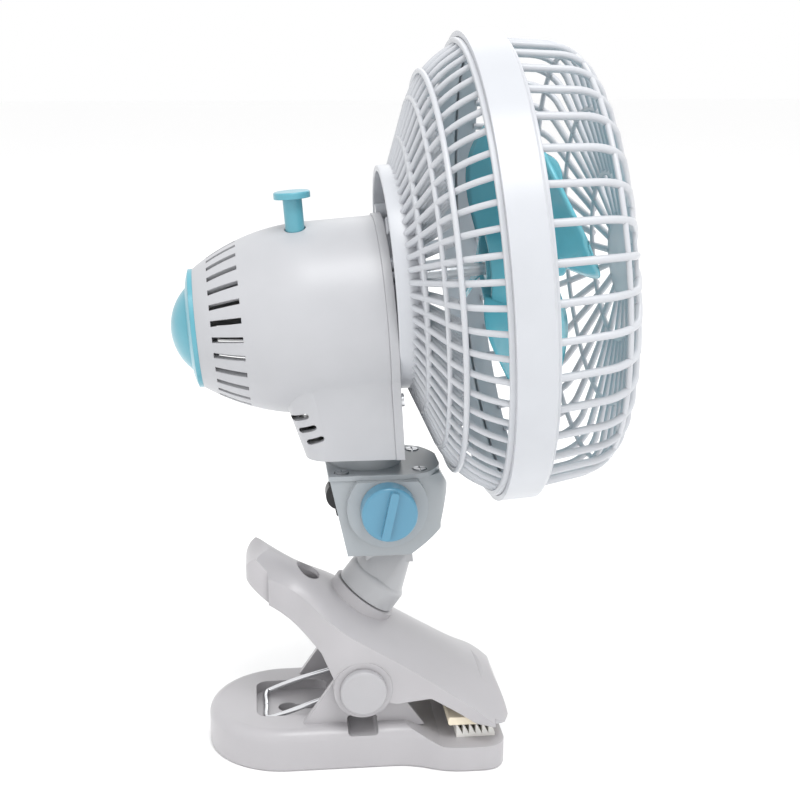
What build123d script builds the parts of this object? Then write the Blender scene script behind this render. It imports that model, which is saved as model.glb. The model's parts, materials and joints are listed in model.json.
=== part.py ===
from build123d import *
import os
from math import acos, atan, atan2, cos, degrees, hypot, radians, sin

os.makedirs("parts", exist_ok=True)

# ---------------------------------------------------------------------------
# Driving dimensions, in millimetres and degrees.
# X points the way the fan faces, Z is up and Y = 0 is the middle of the object.
# The origin is on the underside of the lower jaw, below the clip's pivot.
# ---------------------------------------------------------------------------

# clearances
running_fit = 0.06          # pin or shaft in its bore, on the radius
moving_gap = 0.4            # faces of two bodies that pass each other
wall = 2.2                  # moulded shells
through = 200.0             # length of a cut that goes right through

# lower jaw
pivot_height = 35.0
pin_radius = 2.5
jaw_rear = 63.5             # rear end, measured back from the pivot
jaw_nose = 58.5             # front end, measured forward from the pivot
jaw_half = 33.0
nose_half = 40.5
jaw_flare_start = 12.0
jaw_flare_length = 30.0
nose_corner = 9.0
jaw_height = 17.5
jaw_shoulder = 4.5
jaw_foot_round = 1.2
nose_height = 11.0
nose_step_start = 18.0
nose_step_end = 32.0
hollow_height = 8.6
ear_inner = 22.8
ear_thickness = 3.0
ear_top = 10.0
ear_foot = 26.0
ear_foot_height = 15.0
groove_front = -13.0
groove_rear = -43.5
groove_half = 17.0
groove_floor = 13.0
groove_corner = 5.0
keyhole_x = -30.0
keyhole_radius = 4.2
keyhole_slot = 2.2
keyhole_reach = 10.0
window_length = 12.4
window_height = 6.2
window_level = 17.6

# grips
tooth_count = 6
tooth_pitch = 2.7
comb_height = 5.0
pad_height = 3.4
grip_floor = 9.0
grip_tooth_base = 12.2
grip_front = 55.0
grip_half = 31.0
grip_meet = 17.6            # level at which the two grips meet

# upper jaw
thumb_end = -46.5
thumb_half = 15.0
thumb_corner = 9.0
thumb_end_round = 7.0
thumb_flare_start = -30.0
thumb_flare_end = -6.0
skirt_half = 32.0
lip_half = 38.5
lip_flare_start = 24.0
lip_flare_end = 52.0
lip_end = 60.5
lip_corner = 7.0
ridge_level = 63.0          # height of the ridge above the pivot's X
ridge_fall = 0.632          # fall of the ridge for each millimetre forward
crown = 8.0                 # height of the ridge above the side crease
skirt_draft = 0.045         # outward lean of the skirt, per millimetre down
jaw_stations = 9
thumb_drop = 7.0            # depth of the skirt under the crease at the thumb end
skirt_rear_x = -16.5
skirt_rear_z = 49.0
lobe_radius = 12.0
lobe_half = 33.0
arch_front_x = 28.0
arch_rear_x = 14.0
arch_top = 30.0
lip_x = 46.0
lip_level = 20.0
lip_front_round = 9.0
nose_block_x = 34.0
thumb_hole_x = -20.5
thumb_hole_length = 9.5
thumb_hole_width = 15.0
cap_radius = 9.5
cap_rise = 3.4
cap_bore = 4.0

# torsion spring
wire_radius = 1.1
coil_radius = 7.0
coil_turns = 2
coil_pitch = 3.0
coil_start = 13.6
yoke_half = 13.4
yoke_x = -39.5
yoke_z = 14.4
yoke_corner = 2.6
leg_end_x = -13.0
leg_end_z = 55.0
arc_step = 30.0

# stem and its swivel on the upper jaw
swivel_x = 3.8
swivel_z = 64.9
swivel_lean = 36.87         # lean of the swivel axis from upright
stem_radius = 13.2
stem_height = 10.5
stem_round = 3.0
pad_radius = 14.6
pad_depth = 9.0
spigot_radius = 5.0
washer_radius = 8.5
washer_thickness = 1.6
screw_radius = 2.0
tongue_half = 6.5
tongue_rear = -7.4          # edges of the tongue, from the tilt axis
tongue_front = 12.4
tongue_level = -30.0
fairing_level = 83.0
fairing_height = 8.5
fairing_corner = 4.0

# neck
tilt_x = 11.0
tilt_z = 110.0
tilt_up = 15.0
tilt_down = 35.0
tilt_spare = 6.0            # room for the stem's fairing past the end of the tilt
knuckle_radius = 9.0
neck_top = 121.0
neck_bottom = 89.0
neck_half = 22.0
neck_front = 38.0
neck_rear_top = -12.0
neck_rear_bottom = -5.0
neck_brow_x = 33.5          # top front edge, set back under the rear grille
neck_belly_z = 113.0
neck_chin_z = 99.0
neck_chin_x = 34.2
neck_floor_x = 21.0
cover_thickness = 2.0
cover_lip = 0.5
cover_reach = 30.8          # from the axis that the head turns on, clear of the rear grille
osc_x = 4.0
collar_radius = 14.8
collar_top = 129.4
boss_radius = 16.5
boss_face = 25.4
far_boss_radius = 9.6
far_boss_face = 24.0
bolt_radius = 2.5
knob_radius = 11.2
knob_depth = 8.6
knob_bar_width = 3.4
knob_bar_rise = 2.4
knob_bar_lean = 12.0
nut_flats = 8.0
nut_thickness = 3.4
inlet_radius = 3.4
inlet_z = 95.0
neck_screw_x = 25.0
neck_screw_y = 14.5
neck_screw_rear = -7.0
neck_screw_side = 17.0
screw_head_radius = 2.6
screw_head_height = 1.4
screw_shank = 1.3
screw_post = 3.0

# switch on the rear of the neck
switch_z = 108.5
case_width = 12.0
case_length = 15.0
case_depth = 8.0
case_flange = 0.8
rocker_width = 8.0
rocker_length = 10.4
rocker_rise = 3.4
rocker_depth = 3.4

# oscillation pivot
leg_bottom = 130.0
leg_floor = 2.6
post_radius = 6.0
post_flange = 9.0
post_flange_thickness = 1.2
tower_wall = 2.4
tower_top = 147.0
arm_radius = 8.4
arm_lobe = 3.0
arm_thickness = 2.0
arm_offset = 8.0
arm_pin_radius = 1.8
arm_pin_height = 5.2
post_screw_head = 3.6

# fan axis
motor_lean = 4.5            # the motor axis points this much upwards
fan_x = 48.0                # middle of the rim's rear edge
fan_z = 202.0

# rim and grilles, placed along the fan axis from the rim's rear edge
rim_radius = 94.0
rim_width = 15.0
rim_wall = 2.2
rim_latch_length = 8.0
rim_latch_width = 12.0
rim_latch_rise = 1.8
ring_gap = 0.2
ring_wall = 2.2
rear_ring_start = -2.0
rear_ring_end = 7.0
front_ring_start = 8.0
front_ring_end = 16.5
rib_overlap = 1.0
rear_ribs = 60
rear_rib_width = 2.0
rear_rib_depth = 2.6
tube_radius = 45.0
tube_wall = 2.2
tube_rear = -35.5
plate_radius = 56.0
plate_at = -26.5
plate_thickness = 1.8
rib_foot = -31.0
shoulder_radius = 80.5
shoulder_at = -17.0
shoulder_round = 10.0
hoop_width = 2.2
hoop_depth = 2.0
mid_hoop_radius = 70.0
standoff_reach = 34.0
standoff_radius = 3.4
front_ribs = 40
front_rib_width = 2.6
front_rib_depth = 2.6
dome_side_at = 34.0
dome_side_radius = 88.0
dome_edge_at = 50.0
dome_edge_radius = 73.5
mid_hoop_front_radius = 60.0
mid_hoop_front_at = 51.8
inner_hoop_at = 57.8
dome_front = 63.0
inner_hoop_radius = 34.0
side_hoop_radius = 82.0
side_hoop_at = 43.4
centre_radius = 18.0
badge_radius = 16.0
badge_thickness = 1.6
badge_round = 0.6

# motor housing, round its own axis below the fan axis
housing_drop = 13.0
housing_radius = 38.5
housing_front = -39.0
housing_round_start = -66.0
cap_seat = -112.0
cap_seat_radius = 23.8
leg_rear_top = -41.0
leg_rear_bottom = -21.0
leg_half_top = 36.0
leg_half_bottom = 24.5
leg_corner_top = 17.0
leg_corner_bottom = 9.0
vent_count = 28
vent_width = 2.2
vent_start = -106.0
vent_end = -94.0
side_slot_count = 3
side_slot_x = -23.5
side_slot_z = 148.5
side_slot_pitch = 3.0
side_slot_drop = 4.7
side_slot_length = 7.0
side_slot_width = 2.4
side_slot_lean = 22.0
plate_front = -35.5
plate_lip = 0.8
plate_hole = 8.0
post_up = 9.0
post_down = -45.0
post_side_up = 25.0
post_side_down = 24.0
post_length = 20.0

# rear cap
cap_flange = 1.8
cap_cove_radius = 16.6
cap_cove_depth = 3.6
cap_dome_depth = 11.0
cap_wall = 1.8

# motor
shaft_radius = 2.5
shaft_rear = -78.0
shaft_front = 31.0
stator_radius = 21.5
stator_bore = 11.0
stator_rear = -59.0
stator_length = 13.0
air_gap = 0.5
coil_length = 3.2
coil_inner = 12.0
coil_outer = 19.5
bracket_gap = 0.5
bracket_thickness = 1.6
bracket_half = 8.0
bearing_radius = 5.5
bearing_length = 4.0
motor_screw_reach = 18.3

# oscillating gear
spindle_at = -70.0
spindle_radius = 2.0
worm_radius = 3.2
wheel_radius = 5.2
mesh_gap = 0.3
wheel_height = 6.0
wheel_teeth = 16
tooth_depth = 0.8
case_half_length = 4.6
case_half_height = 8.0
case_plate = 1.2
crank_level = -39.0
crank_radius = 7.4
crank_thickness = 2.0
crank_throw = 5.0
crank_pin_radius = 1.5
link_thickness = 1.6
link_half = 3.0
link_gap = 0.3
knob_stem_radius = 3.8
knob_stem_foot = 14.5
knob_disc_radius = 7.2
knob_disc_level = 36.2
knob_disc_thickness = 2.6
knob_disc_round = 0.7

# blade
blade_count = 3
blade_first = -10.0
blade_tip = 74.0
blade_mid = 45.0
blade_root = 14.0
blade_thickness = 1.8
blade_root_chord = 26.0
blade_mid_chord = 54.0
blade_tip_chord = 44.0
blade_root_pitch = 50.0
blade_mid_pitch = 38.0
blade_tip_pitch = 30.0
blade_level = 20.0
hub_radius = 16.5
hub_rear = 5.0
hub_front = 29.0
hub_round = 4.0
hub_wall = 2.0
hub_boss = 5.5
nut_cap_radius = 6.0
nut_cap_height = 9.0

# ---------------------------------------------------------------------------
# Frames worked out from the dimensions
# ---------------------------------------------------------------------------
lean = radians(motor_lean)
forward = Vector(cos(lean), 0, sin(lean))
upward = Vector(-sin(lean), 0, cos(lean))
fan_origin = Vector(fan_x, 0, fan_z)
fan = Plane(origin=fan_origin, x_dir=upward, z_dir=forward)
fan_axis = Axis(fan_origin, forward)

housing_origin = fan_origin - upward * housing_drop
housing = Plane(origin=housing_origin, x_dir=upward, z_dir=forward)
housing_side = Plane(origin=housing_origin, x_dir=forward, z_dir=(0, -1, 0))
housing_axis = Axis(housing_origin, forward)

spindle_side = worm_radius + wheel_radius + mesh_gap
spindle_origin = fan_origin + forward * spindle_at - Vector(0, spindle_side, 0)
spindle = Plane(origin=spindle_origin, x_dir=forward, z_dir=upward)

swivel_angle = radians(swivel_lean)
swivel_up = Vector(sin(swivel_angle), 0, cos(swivel_angle))
swivel_forward = Vector(cos(swivel_angle), 0, -sin(swivel_angle))
swivel = Plane(origin=(swivel_x, 0, swivel_z), x_dir=swivel_forward, z_dir=swivel_up)

rear_slope = (neck_rear_bottom - neck_rear_top) / (neck_top - neck_bottom)
rear_down = Vector(rear_slope, 0, -1).normalized()
rear_out = Vector(rear_down.Z, 0, -rear_down.X)
switch_x = neck_rear_top + (neck_top - switch_z) * rear_slope
inlet_x = neck_rear_top + (neck_top - inlet_z) * rear_slope
switch_face = Plane(origin=(switch_x, 0, switch_z), x_dir=(0, 1, 0), z_dir=rear_out)
inlet_face = Plane(origin=(inlet_x, 0, inlet_z), x_dir=(0, 1, 0), z_dir=rear_out)

# planes seen from the left side, with X forward and the height up
middle = Plane.XZ
pivot_side = Plane(origin=(0, 0, pivot_height), x_dir=(1, 0, 0), z_dir=(0, -1, 0))
tilt_side = Plane(origin=(tilt_x, 0, tilt_z), x_dir=(1, 0, 0), z_dir=(0, -1, 0))


def save(piece, name):
    """Label a finished piece and write it under its node's name."""
    piece.part.label = name
    export_step(piece.part, f"parts/{name}.step")


def flare(start, length, rise):
    """S-shaped pair of arcs that moves an outline sideways by a rise."""
    angle = 2 * degrees(atan(rise / length))
    radius = length / (2 * sin(radians(angle)))
    out = JernArc(start, (1, 0), radius, angle)
    return JernArc(out @ 1, out % 1, radius, -angle)


# ---------------------------------------------------------------------------
# Lower jaw: the moulded tray that the fan stands on, with ears for the pin
# ---------------------------------------------------------------------------
def jaw_plan(inset):
    """Outline of the lower jaw from above, drawn in by a wall."""
    tail_x = jaw_half - jaw_rear
    with BuildSketch(mode=Mode.PRIVATE) as plan:
        with BuildLine():
            CenterArc((tail_x, 0), jaw_half, 90, 90)
            Line((tail_x, jaw_half), (jaw_flare_start, jaw_half))
            bend = flare((jaw_flare_start, jaw_half), jaw_flare_length, nose_half - jaw_half)
            side = Line(bend @ 1, (jaw_nose - nose_corner, nose_half))
            corner = JernArc(side @ 1, (1, 0), nose_corner, -90)
            Line(corner @ 1, (jaw_nose, 0))
            mirror(about=Plane.XZ)
        make_face()
        if inset:
            offset(amount=-inset)
    return plan.sketch


def rib_cross():
    """Stiffening ribs under the tray: one across at the pivot and one along the nose."""
    with BuildSketch(mode=Mode.PRIVATE) as ribs:
        Rectangle(wall, 2 * jaw_half - wall)
        with Locations((jaw_nose / 2, 0)):
            Rectangle(jaw_nose - wall, wall)
    return ribs.sketch


def ear_plane(side):
    """Plane of an ear's inner face on one side."""
    return Plane(origin=(0, side * ear_inner, 0), x_dir=(1, 0, 0), z_dir=(0, -1, 0))


with BuildPart() as lower_jaw:
    with BuildSketch():
        add(jaw_plan(0))
    extrude(amount=jaw_height)
    fillet(lower_jaw.faces().sort_by(Axis.Z)[-1].edges(), jaw_shoulder)
    fillet(lower_jaw.faces().sort_by(Axis.Z)[0].edges(), jaw_foot_round)
    # the nose steps down in front of the ears, to leave room for the grips
    with BuildSketch(middle):
        with BuildLine():
            Polyline(
                (nose_step_start, jaw_height + wall),
                (nose_step_start, jaw_height),
                (nose_step_end, nose_height),
                (jaw_nose + wall, nose_height),
                (jaw_nose + wall, jaw_height + wall),
                close=True,
            )
        make_face()
    extrude(amount=through, both=True, mode=Mode.SUBTRACT)
    # hollow from below
    with BuildSketch():
        add(jaw_plan(wall))
    extrude(amount=hollow_height, mode=Mode.SUBTRACT)
    # ribs across the hollow, down to the surface it stands on
    extrude(rib_cross(), amount=hollow_height)
    # groove in the handle for the spring's yoke, with the keyhole in its floor
    with BuildSketch(Plane.XY.offset(groove_floor)):
        with Locations(((groove_front + groove_rear) / 2, 0)):
            RectangleRounded(groove_front - groove_rear, 2 * groove_half, groove_corner)
    extrude(amount=jaw_height, mode=Mode.SUBTRACT)
    with BuildSketch():
        with Locations((keyhole_x, 0)):
            Circle(keyhole_radius)
        with Locations((keyhole_x + keyhole_reach / 2, 0)):
            SlotOverall(keyhole_reach + 2 * keyhole_slot, 2 * keyhole_slot)
    extrude(amount=jaw_height, mode=Mode.SUBTRACT)
    # ears that carry the pivot pin
    for side in (-1, 1):
        with BuildSketch(ear_plane(side)):
            with BuildLine():
                CenterArc((0, pivot_height), ear_top, 0, 360)
                Line((-ear_foot, ear_foot_height), (ear_foot, ear_foot_height))
            make_hull()
        extrude(amount=-side * ear_thickness)
    # a window under each ear
    with BuildSketch(middle):
        with Locations((0, window_level)):
            RectangleRounded(window_length, window_height, window_height / 4)
    extrude(amount=through, both=True, mode=Mode.SUBTRACT)
    # seat of the lower grip and the bore of the pin
    grip_length = tooth_count * tooth_pitch
    with BuildSketch(Plane.XY.offset(grip_floor)):
        with Locations((grip_front - grip_length / 2, 0)):
            Rectangle(grip_length, 2 * grip_half)
    extrude(amount=jaw_height, mode=Mode.SUBTRACT)
    with BuildSketch(pivot_side):
        Circle(pin_radius)
    extrude(amount=through, both=True, mode=Mode.SUBTRACT)
save(lower_jaw, "lower_jaw")

# Lower grip: soft comb of teeth in the nose of the lower jaw
with BuildPart() as lower_grip:
    with BuildSketch(middle):
        with BuildLine():
            Polyline(
                (grip_front, grip_tooth_base),
                (grip_front, grip_floor),
                (grip_front - grip_length, grip_floor),
                (grip_front - grip_length, grip_tooth_base),
                close=True,
            )
        make_face()
        for tooth in range(tooth_count):
            heel = grip_front - tooth * tooth_pitch
            with BuildLine():
                Polyline(
                    (heel, grip_tooth_base),
                    (heel - tooth_pitch, grip_tooth_base),
                    (heel - tooth_pitch, grip_tooth_base + comb_height),
                    close=True,
                )
            make_face()
    extrude(amount=grip_half, both=True)
save(lower_grip, "lower_grip")


# ---------------------------------------------------------------------------
# Upper jaw: crowned lever with a skirt, lobes on the pin and a pad for the stem
# ---------------------------------------------------------------------------
def blend(x, start, end):
    """Smooth step from 0 to 1 between two places along X."""
    part_way = min(max((x - start) / (end - start), 0), 1)
    return part_way * part_way * (3 - 2 * part_way)


def lever_half(x):
    """Half width of the upper jaw at its crease."""
    waist = (skirt_half - thumb_half) * blend(x, thumb_flare_start, thumb_flare_end)
    return thumb_half + waist + (lip_half - skirt_half) * blend(x, lip_flare_start, lip_flare_end)


def lever_sections(inset, rear, front):
    """Crowned outlines across the lever between two places, drawn in by a wall."""
    outlines = []
    for station in range(jaw_stations):
        x = rear + (front - rear) * station / (jaw_stations - 1)
        ridge = ridge_level - ridge_fall * x - inset
        crease = ridge - crown
        half = lever_half(x) - inset
        foot = half + skirt_draft * crease
        with BuildSketch(Plane.YZ.offset(x), mode=Mode.PRIVATE) as outline:
            with BuildLine():
                ThreePointArc((-half, crease), (0, ridge), (half, crease))
                Polyline((half, crease), (foot, 0), (-foot, 0), (-half, crease))
            make_face()
        outlines.append(outline.sketch.face())
    return outlines


def corner_waste(end, half, radius, way):
    """What lies outside a rounded corner of the lever, on both sides, from above."""
    centre_x = end - way * radius
    with BuildSketch(mode=Mode.PRIVATE) as waste:
        for side in (-1, 1):
            with Locations((centre_x + way * radius, side * half)):
                Rectangle(2 * radius, 2 * radius)
        for side in (-1, 1):
            with Locations((centre_x, side * (half - radius))):
                Circle(radius, mode=Mode.SUBTRACT)
    return waste.sketch


def thumb_waste():
    """What lies outside the round of the thumb end, seen from the side."""
    steepness = hypot(1, ridge_fall)
    centre_x = thumb_end + thumb_end_round
    centre_z = ridge_level - ridge_fall * centre_x - thumb_end_round * steepness
    touch_x = centre_x + thumb_end_round * ridge_fall / steepness
    touch_z = centre_z + thumb_end_round / steepness
    halfway = (atan2(1, ridge_fall) + radians(180)) / 2
    crest_x = centre_x + thumb_end_round * cos(halfway)
    crest_z = centre_z + thumb_end_round * sin(halfway)
    top = ridge_level - ridge_fall * thumb_end + wall
    with BuildSketch(mode=Mode.PRIVATE) as waste:
        with BuildLine():
            ThreePointArc((thumb_end, centre_z), (crest_x, crest_z), (touch_x, touch_z))
            Polyline(
                (touch_x, touch_z), (touch_x, top), (thumb_end - wall, top),
                (thumb_end - wall, centre_z), (thumb_end, centre_z),
            )
        make_face()
    return waste.sketch


with BuildPart() as upper_jaw:
    loft(lever_sections(0, thumb_end, lip_end))
    extrude(corner_waste(thumb_end, thumb_half, thumb_corner, -1), amount=through, mode=Mode.SUBTRACT)
    extrude(corner_waste(lip_end, lip_half, lip_corner, 1), amount=through, mode=Mode.SUBTRACT)
    loft(lever_sections(wall, thumb_end + thumb_end_round + wall, nose_block_x), mode=Mode.SUBTRACT)
    # round pad under the stem, with a boss inside
    with BuildSketch(swivel.offset(-moving_gap)):
        Circle(pad_radius)
    extrude(amount=-pad_depth)
    # underside: thumb end, lobes, arch and lip
    with BuildSketch(middle):
        with BuildLine():
            thumb_edge = ridge_level - ridge_fall * thumb_end - crown - thumb_drop
            FilletPolyline(
                (thumb_end - wall, thumb_edge),
                (skirt_rear_x, skirt_rear_z),
                (-lobe_radius + wall, pivot_height),
                (arch_rear_x, arch_top - wall),
                (arch_front_x, arch_top),
                (lip_x, lip_level),
                (lip_end + wall, lip_level),
                radius=lobe_radius / 4,
            )
            Polyline(
                (lip_end + wall, lip_level), (lip_end + wall, -wall),
                (thumb_end - wall, -wall), (thumb_end - wall, thumb_edge),
            )
        make_face()
    extrude(amount=through, both=True, mode=Mode.SUBTRACT)
    # rounded front and rear ends, seen from the side
    with BuildSketch(middle):
        lip_top = ridge_level - ridge_fall * lip_end
        with Locations((lip_end, lip_top)):
            Rectangle(2 * lip_front_round, 2 * lip_front_round)
        with Locations((lip_end - lip_front_round, lip_top - lip_front_round / 2)):
            Circle(lip_front_round, mode=Mode.SUBTRACT)
    extrude(amount=through, both=True, mode=Mode.SUBTRACT)
    with BuildSketch(middle):
        add(thumb_waste())
    extrude(amount=through, both=True, mode=Mode.SUBTRACT)
    # flat eyes of the lobes
    for side in (-1, 1):
        with BuildSketch(Plane(origin=(0, side * lobe_half, pivot_height), z_dir=(0, -side, 0))):
            Circle(lobe_radius)
        extrude(amount=lobe_half - ear_inner - ear_thickness - moving_gap)
        with BuildSketch(Plane(origin=(0, side * lobe_half, pivot_height), z_dir=(0, side, 0))):
            Circle(cap_radius + moving_gap)
        extrude(amount=wall, mode=Mode.SUBTRACT)
    # thumb opening, bore of the stem's spigot, seat of the grip and bore of the pin
    with BuildSketch(Plane.XY.offset(pivot_height)):
        with Locations((thumb_hole_x, 0)):
            Ellipse(thumb_hole_length / 2, thumb_hole_width / 2)
    extrude(amount=through, mode=Mode.SUBTRACT)
    with BuildSketch(swivel):
        Circle(spigot_radius + running_fit)
    extrude(amount=-2 * pad_depth, mode=Mode.SUBTRACT)
    with BuildSketch(middle):
        with Locations(((grip_front + nose_block_x) / 2, grip_meet)):
            Rectangle(grip_front - nose_block_x - wall, 2 * pad_height)
    extrude(amount=grip_half + wall, both=True, mode=Mode.SUBTRACT)
    with BuildSketch(pivot_side):
        Circle(pin_radius + running_fit)
    extrude(amount=through, both=True, mode=Mode.SUBTRACT)
save(upper_jaw, "upper_jaw")

# Upper grip: soft pad under the lip of the upper jaw, meeting the teeth
with BuildPart() as upper_grip:
    with BuildSketch(middle):
        with Locations(((grip_front + nose_block_x) / 2, grip_meet + pad_height / 2)):
            RectangleRounded(grip_front - nose_block_x - wall, pad_height, pad_height / 4)
    extrude(amount=grip_half + wall, both=True)
save(upper_grip, "upper_grip")

# Pivot pin, and the two caps that close its ends
pin_end = lobe_half + cap_bore / 2
with BuildPart() as pivot_pin:
    with BuildSketch(pivot_side):
        Circle(pin_radius)
    extrude(amount=pin_end, both=True)
    chamfer(pivot_pin.edges(), pin_radius / 8)
save(pivot_pin, "pivot_pin")

with BuildPart() as pivot_caps:
    for side in (-1, 1):
        seat = Plane(origin=(0, side * (lobe_half + moving_gap), pivot_height), z_dir=(0, side, 0))
        with BuildSketch(seat):
            Circle(cap_radius)
        extrude(amount=cap_rise)
        with BuildSketch(seat):
            Circle(pin_radius)
        extrude(amount=cap_bore / 2 - moving_gap, mode=Mode.SUBTRACT)
    outer = pivot_caps.edges().filter_by(GeomType.CIRCLE)
    rims = outer.filter_by(lambda e: abs(e.center().Y) > lobe_half + cap_rise / 2 + moving_gap)
    fillet(rims.filter_by(lambda e: e.radius > pin_radius * 2), cap_rise / 3)
save(pivot_caps, "pivot_caps")


# ---------------------------------------------------------------------------
# Torsion spring: one bent wire, with a coil round the pin on each side
# ---------------------------------------------------------------------------
def tangent_angle(x, z, turn):
    """Angle on the coil at which a straight leg to a place leaves it."""
    rise = z - pivot_height
    return degrees(atan2(rise, x) + turn * acos(coil_radius / hypot(x, rise)))


def spring_side():
    """Points along the wire from the middle of the yoke to the end of one upper leg."""
    points = [Vector(yoke_x, 0, yoke_z), Vector(yoke_x, (yoke_half - yoke_corner) / 2, yoke_z)]
    leg_start = tangent_angle(yoke_x, yoke_z, 1)
    foot = Vector(
        coil_radius * cos(radians(leg_start)), yoke_half, pivot_height + coil_radius * sin(radians(leg_start))
    )
    run = (foot - Vector(yoke_x, yoke_half, yoke_z)).normalized()
    centre = Vector(yoke_x, yoke_half - yoke_corner, yoke_z) + run * yoke_corner
    for bend in range(int(90 / arc_step) + 1):
        angle = radians(bend * arc_step)
        points.append(centre - run * (yoke_corner * cos(angle)) + Vector(0, yoke_corner * sin(angle), 0))
    points.append((points[-1] + foot) / 2)
    leg_end = tangent_angle(leg_end_x, leg_end_z, -1)
    sweep_angle = coil_turns * 360 + (leg_end - leg_start) % 360
    steps = int(sweep_angle / arc_step)
    for step in range(steps + 1):
        angle = radians(leg_start + sweep_angle * step / steps)
        along = coil_start + coil_pitch * sweep_angle / 360 * step / steps
        points.append(
            Vector(coil_radius * cos(angle), along, pivot_height + coil_radius * sin(angle))
        )
    tip = Vector(leg_end_x, points[-1].Y, leg_end_z)
    return points + [(points[-1] + tip) / 2, tip]


half_wire = spring_side()
with BuildPart() as torsion_spring:
    with BuildLine() as wire_path:
        Spline(*half_wire)
    with BuildSketch(Plane(origin=wire_path.line @ 0, z_dir=wire_path.line % 0)):
        Circle(wire_radius)
    sweep()
    mirror(about=Plane.XZ)
save(torsion_spring, "torsion_spring")
samples = [wire_path.line @ (i / 600) for i in range(601)]
apart = [
    (samples[i] - samples[j]).length
    for i in range(0, 601, 2)
    for j in range(i + 40, 601, 2)
]
print("spring, least gap to itself in mm:", round(min(apart) - 2 * wire_radius, 2))

# ---------------------------------------------------------------------------
# Stem: round swivel base, shoulder and the tongue that the neck tilts on
# ---------------------------------------------------------------------------


def tongue_outline(margin, reach):
    """Side view of the tongue round the tilt axis, grown by a margin."""
    with BuildSketch(mode=Mode.PRIVATE) as outline:
        with BuildLine():
            CenterArc((0, 0), knuckle_radius + margin, 0, 360)
            Line((tongue_rear - margin, reach), (tongue_front + margin, reach))
        make_hull()
    return outline.sketch


with BuildPart() as stem:
    with BuildSketch(swivel):
        Circle(stem_radius)
    extrude(amount=stem_height)
    fillet(stem.faces().sort_by(Axis(swivel.origin, swivel_up))[-1].edges(), stem_round)
    extrude(tilt_side * tongue_outline(0, tongue_level), amount=tongue_half, both=True)
    # fairing between the round base and the tongue
    fairing_middle = tilt_x + (tongue_rear + tongue_front) / 2
    with BuildSketch(swivel.offset(fairing_height)):
        RectangleRounded(2 * stem_radius - wall, 2 * stem_radius - wall, stem_radius - wall)
    with BuildSketch(Plane((fairing_middle, 0, fairing_level))):
        RectangleRounded(tongue_front - tongue_rear, 2 * tongue_half, fairing_corner)
    loft()
    with BuildSketch(swivel):
        Circle(spigot_radius)
    extrude(amount=-pad_depth - 2 * moving_gap)
    with BuildSketch(swivel.offset(-pad_depth - wall)):
        Circle(screw_radius)
    extrude(amount=pad_depth + stem_height, mode=Mode.SUBTRACT)
    with BuildSketch(tilt_side):
        Circle(bolt_radius + running_fit)
    extrude(amount=through, both=True, mode=Mode.SUBTRACT)
save(stem, "stem")

washer_seat = swivel.offset(-pad_depth - 2 * moving_gap)
with BuildPart() as swivel_washer:
    with BuildSketch(washer_seat):
        Circle(washer_radius)
        Circle(screw_radius, mode=Mode.SUBTRACT)
    extrude(amount=-washer_thickness)
save(swivel_washer, "swivel_washer")

with BuildPart() as swivel_screw:
    with BuildSketch(washer_seat.offset(-washer_thickness)):
        Circle(2 * screw_radius)
    extrude(amount=-screw_radius)
    with BuildSketch(washer_seat.offset(-washer_thickness - screw_radius)):
        Circle(screw_radius)
    extrude(amount=pad_depth + screw_radius)
    with BuildSketch(washer_seat.offset(-washer_thickness - screw_radius)):
        Rectangle(2 * screw_radius, screw_radius / 3)
        Rectangle(screw_radius / 3, 2 * screw_radius)
    extrude(amount=screw_radius / 2, mode=Mode.SUBTRACT)
save(swivel_screw, "swivel_screw")


# ---------------------------------------------------------------------------
# Neck: D-shaped box that tilts on the stem and carries the head
# ---------------------------------------------------------------------------
def neck_plan(inset, front):
    """D-shaped outline of the neck from above."""
    radius = neck_half - inset
    centre_x = neck_front - neck_half
    with BuildSketch(mode=Mode.PRIVATE) as plan:
        with BuildLine():
            Polyline(
                (centre_x, radius), (neck_rear_top + inset, radius),
                (neck_rear_top + inset, -radius), (centre_x, -radius),
            )
            ThreePointArc((centre_x, -radius), (centre_x + radius, 0), (centre_x, radius))
        make_face()
        with Locations((front + through / 2, 0)):
            Rectangle(through, through, mode=Mode.SUBTRACT)
    return plan.sketch


def neck_side(inset):
    """Side view of the neck, drawn in by a wall, with its sloping back and set-back brow."""
    with BuildSketch(mode=Mode.PRIVATE) as view:
        with BuildLine():
            Polyline(
                (neck_rear_top, neck_top), (neck_rear_bottom, neck_bottom), (neck_floor_x, neck_bottom),
                (neck_chin_x, neck_chin_z - wall), (neck_chin_x, neck_chin_z),
                (neck_front, neck_belly_z), (neck_brow_x, neck_top), close=True,
            )
        make_face()
        if inset:
            offset(amount=-inset)
    return middle * view.sketch


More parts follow.
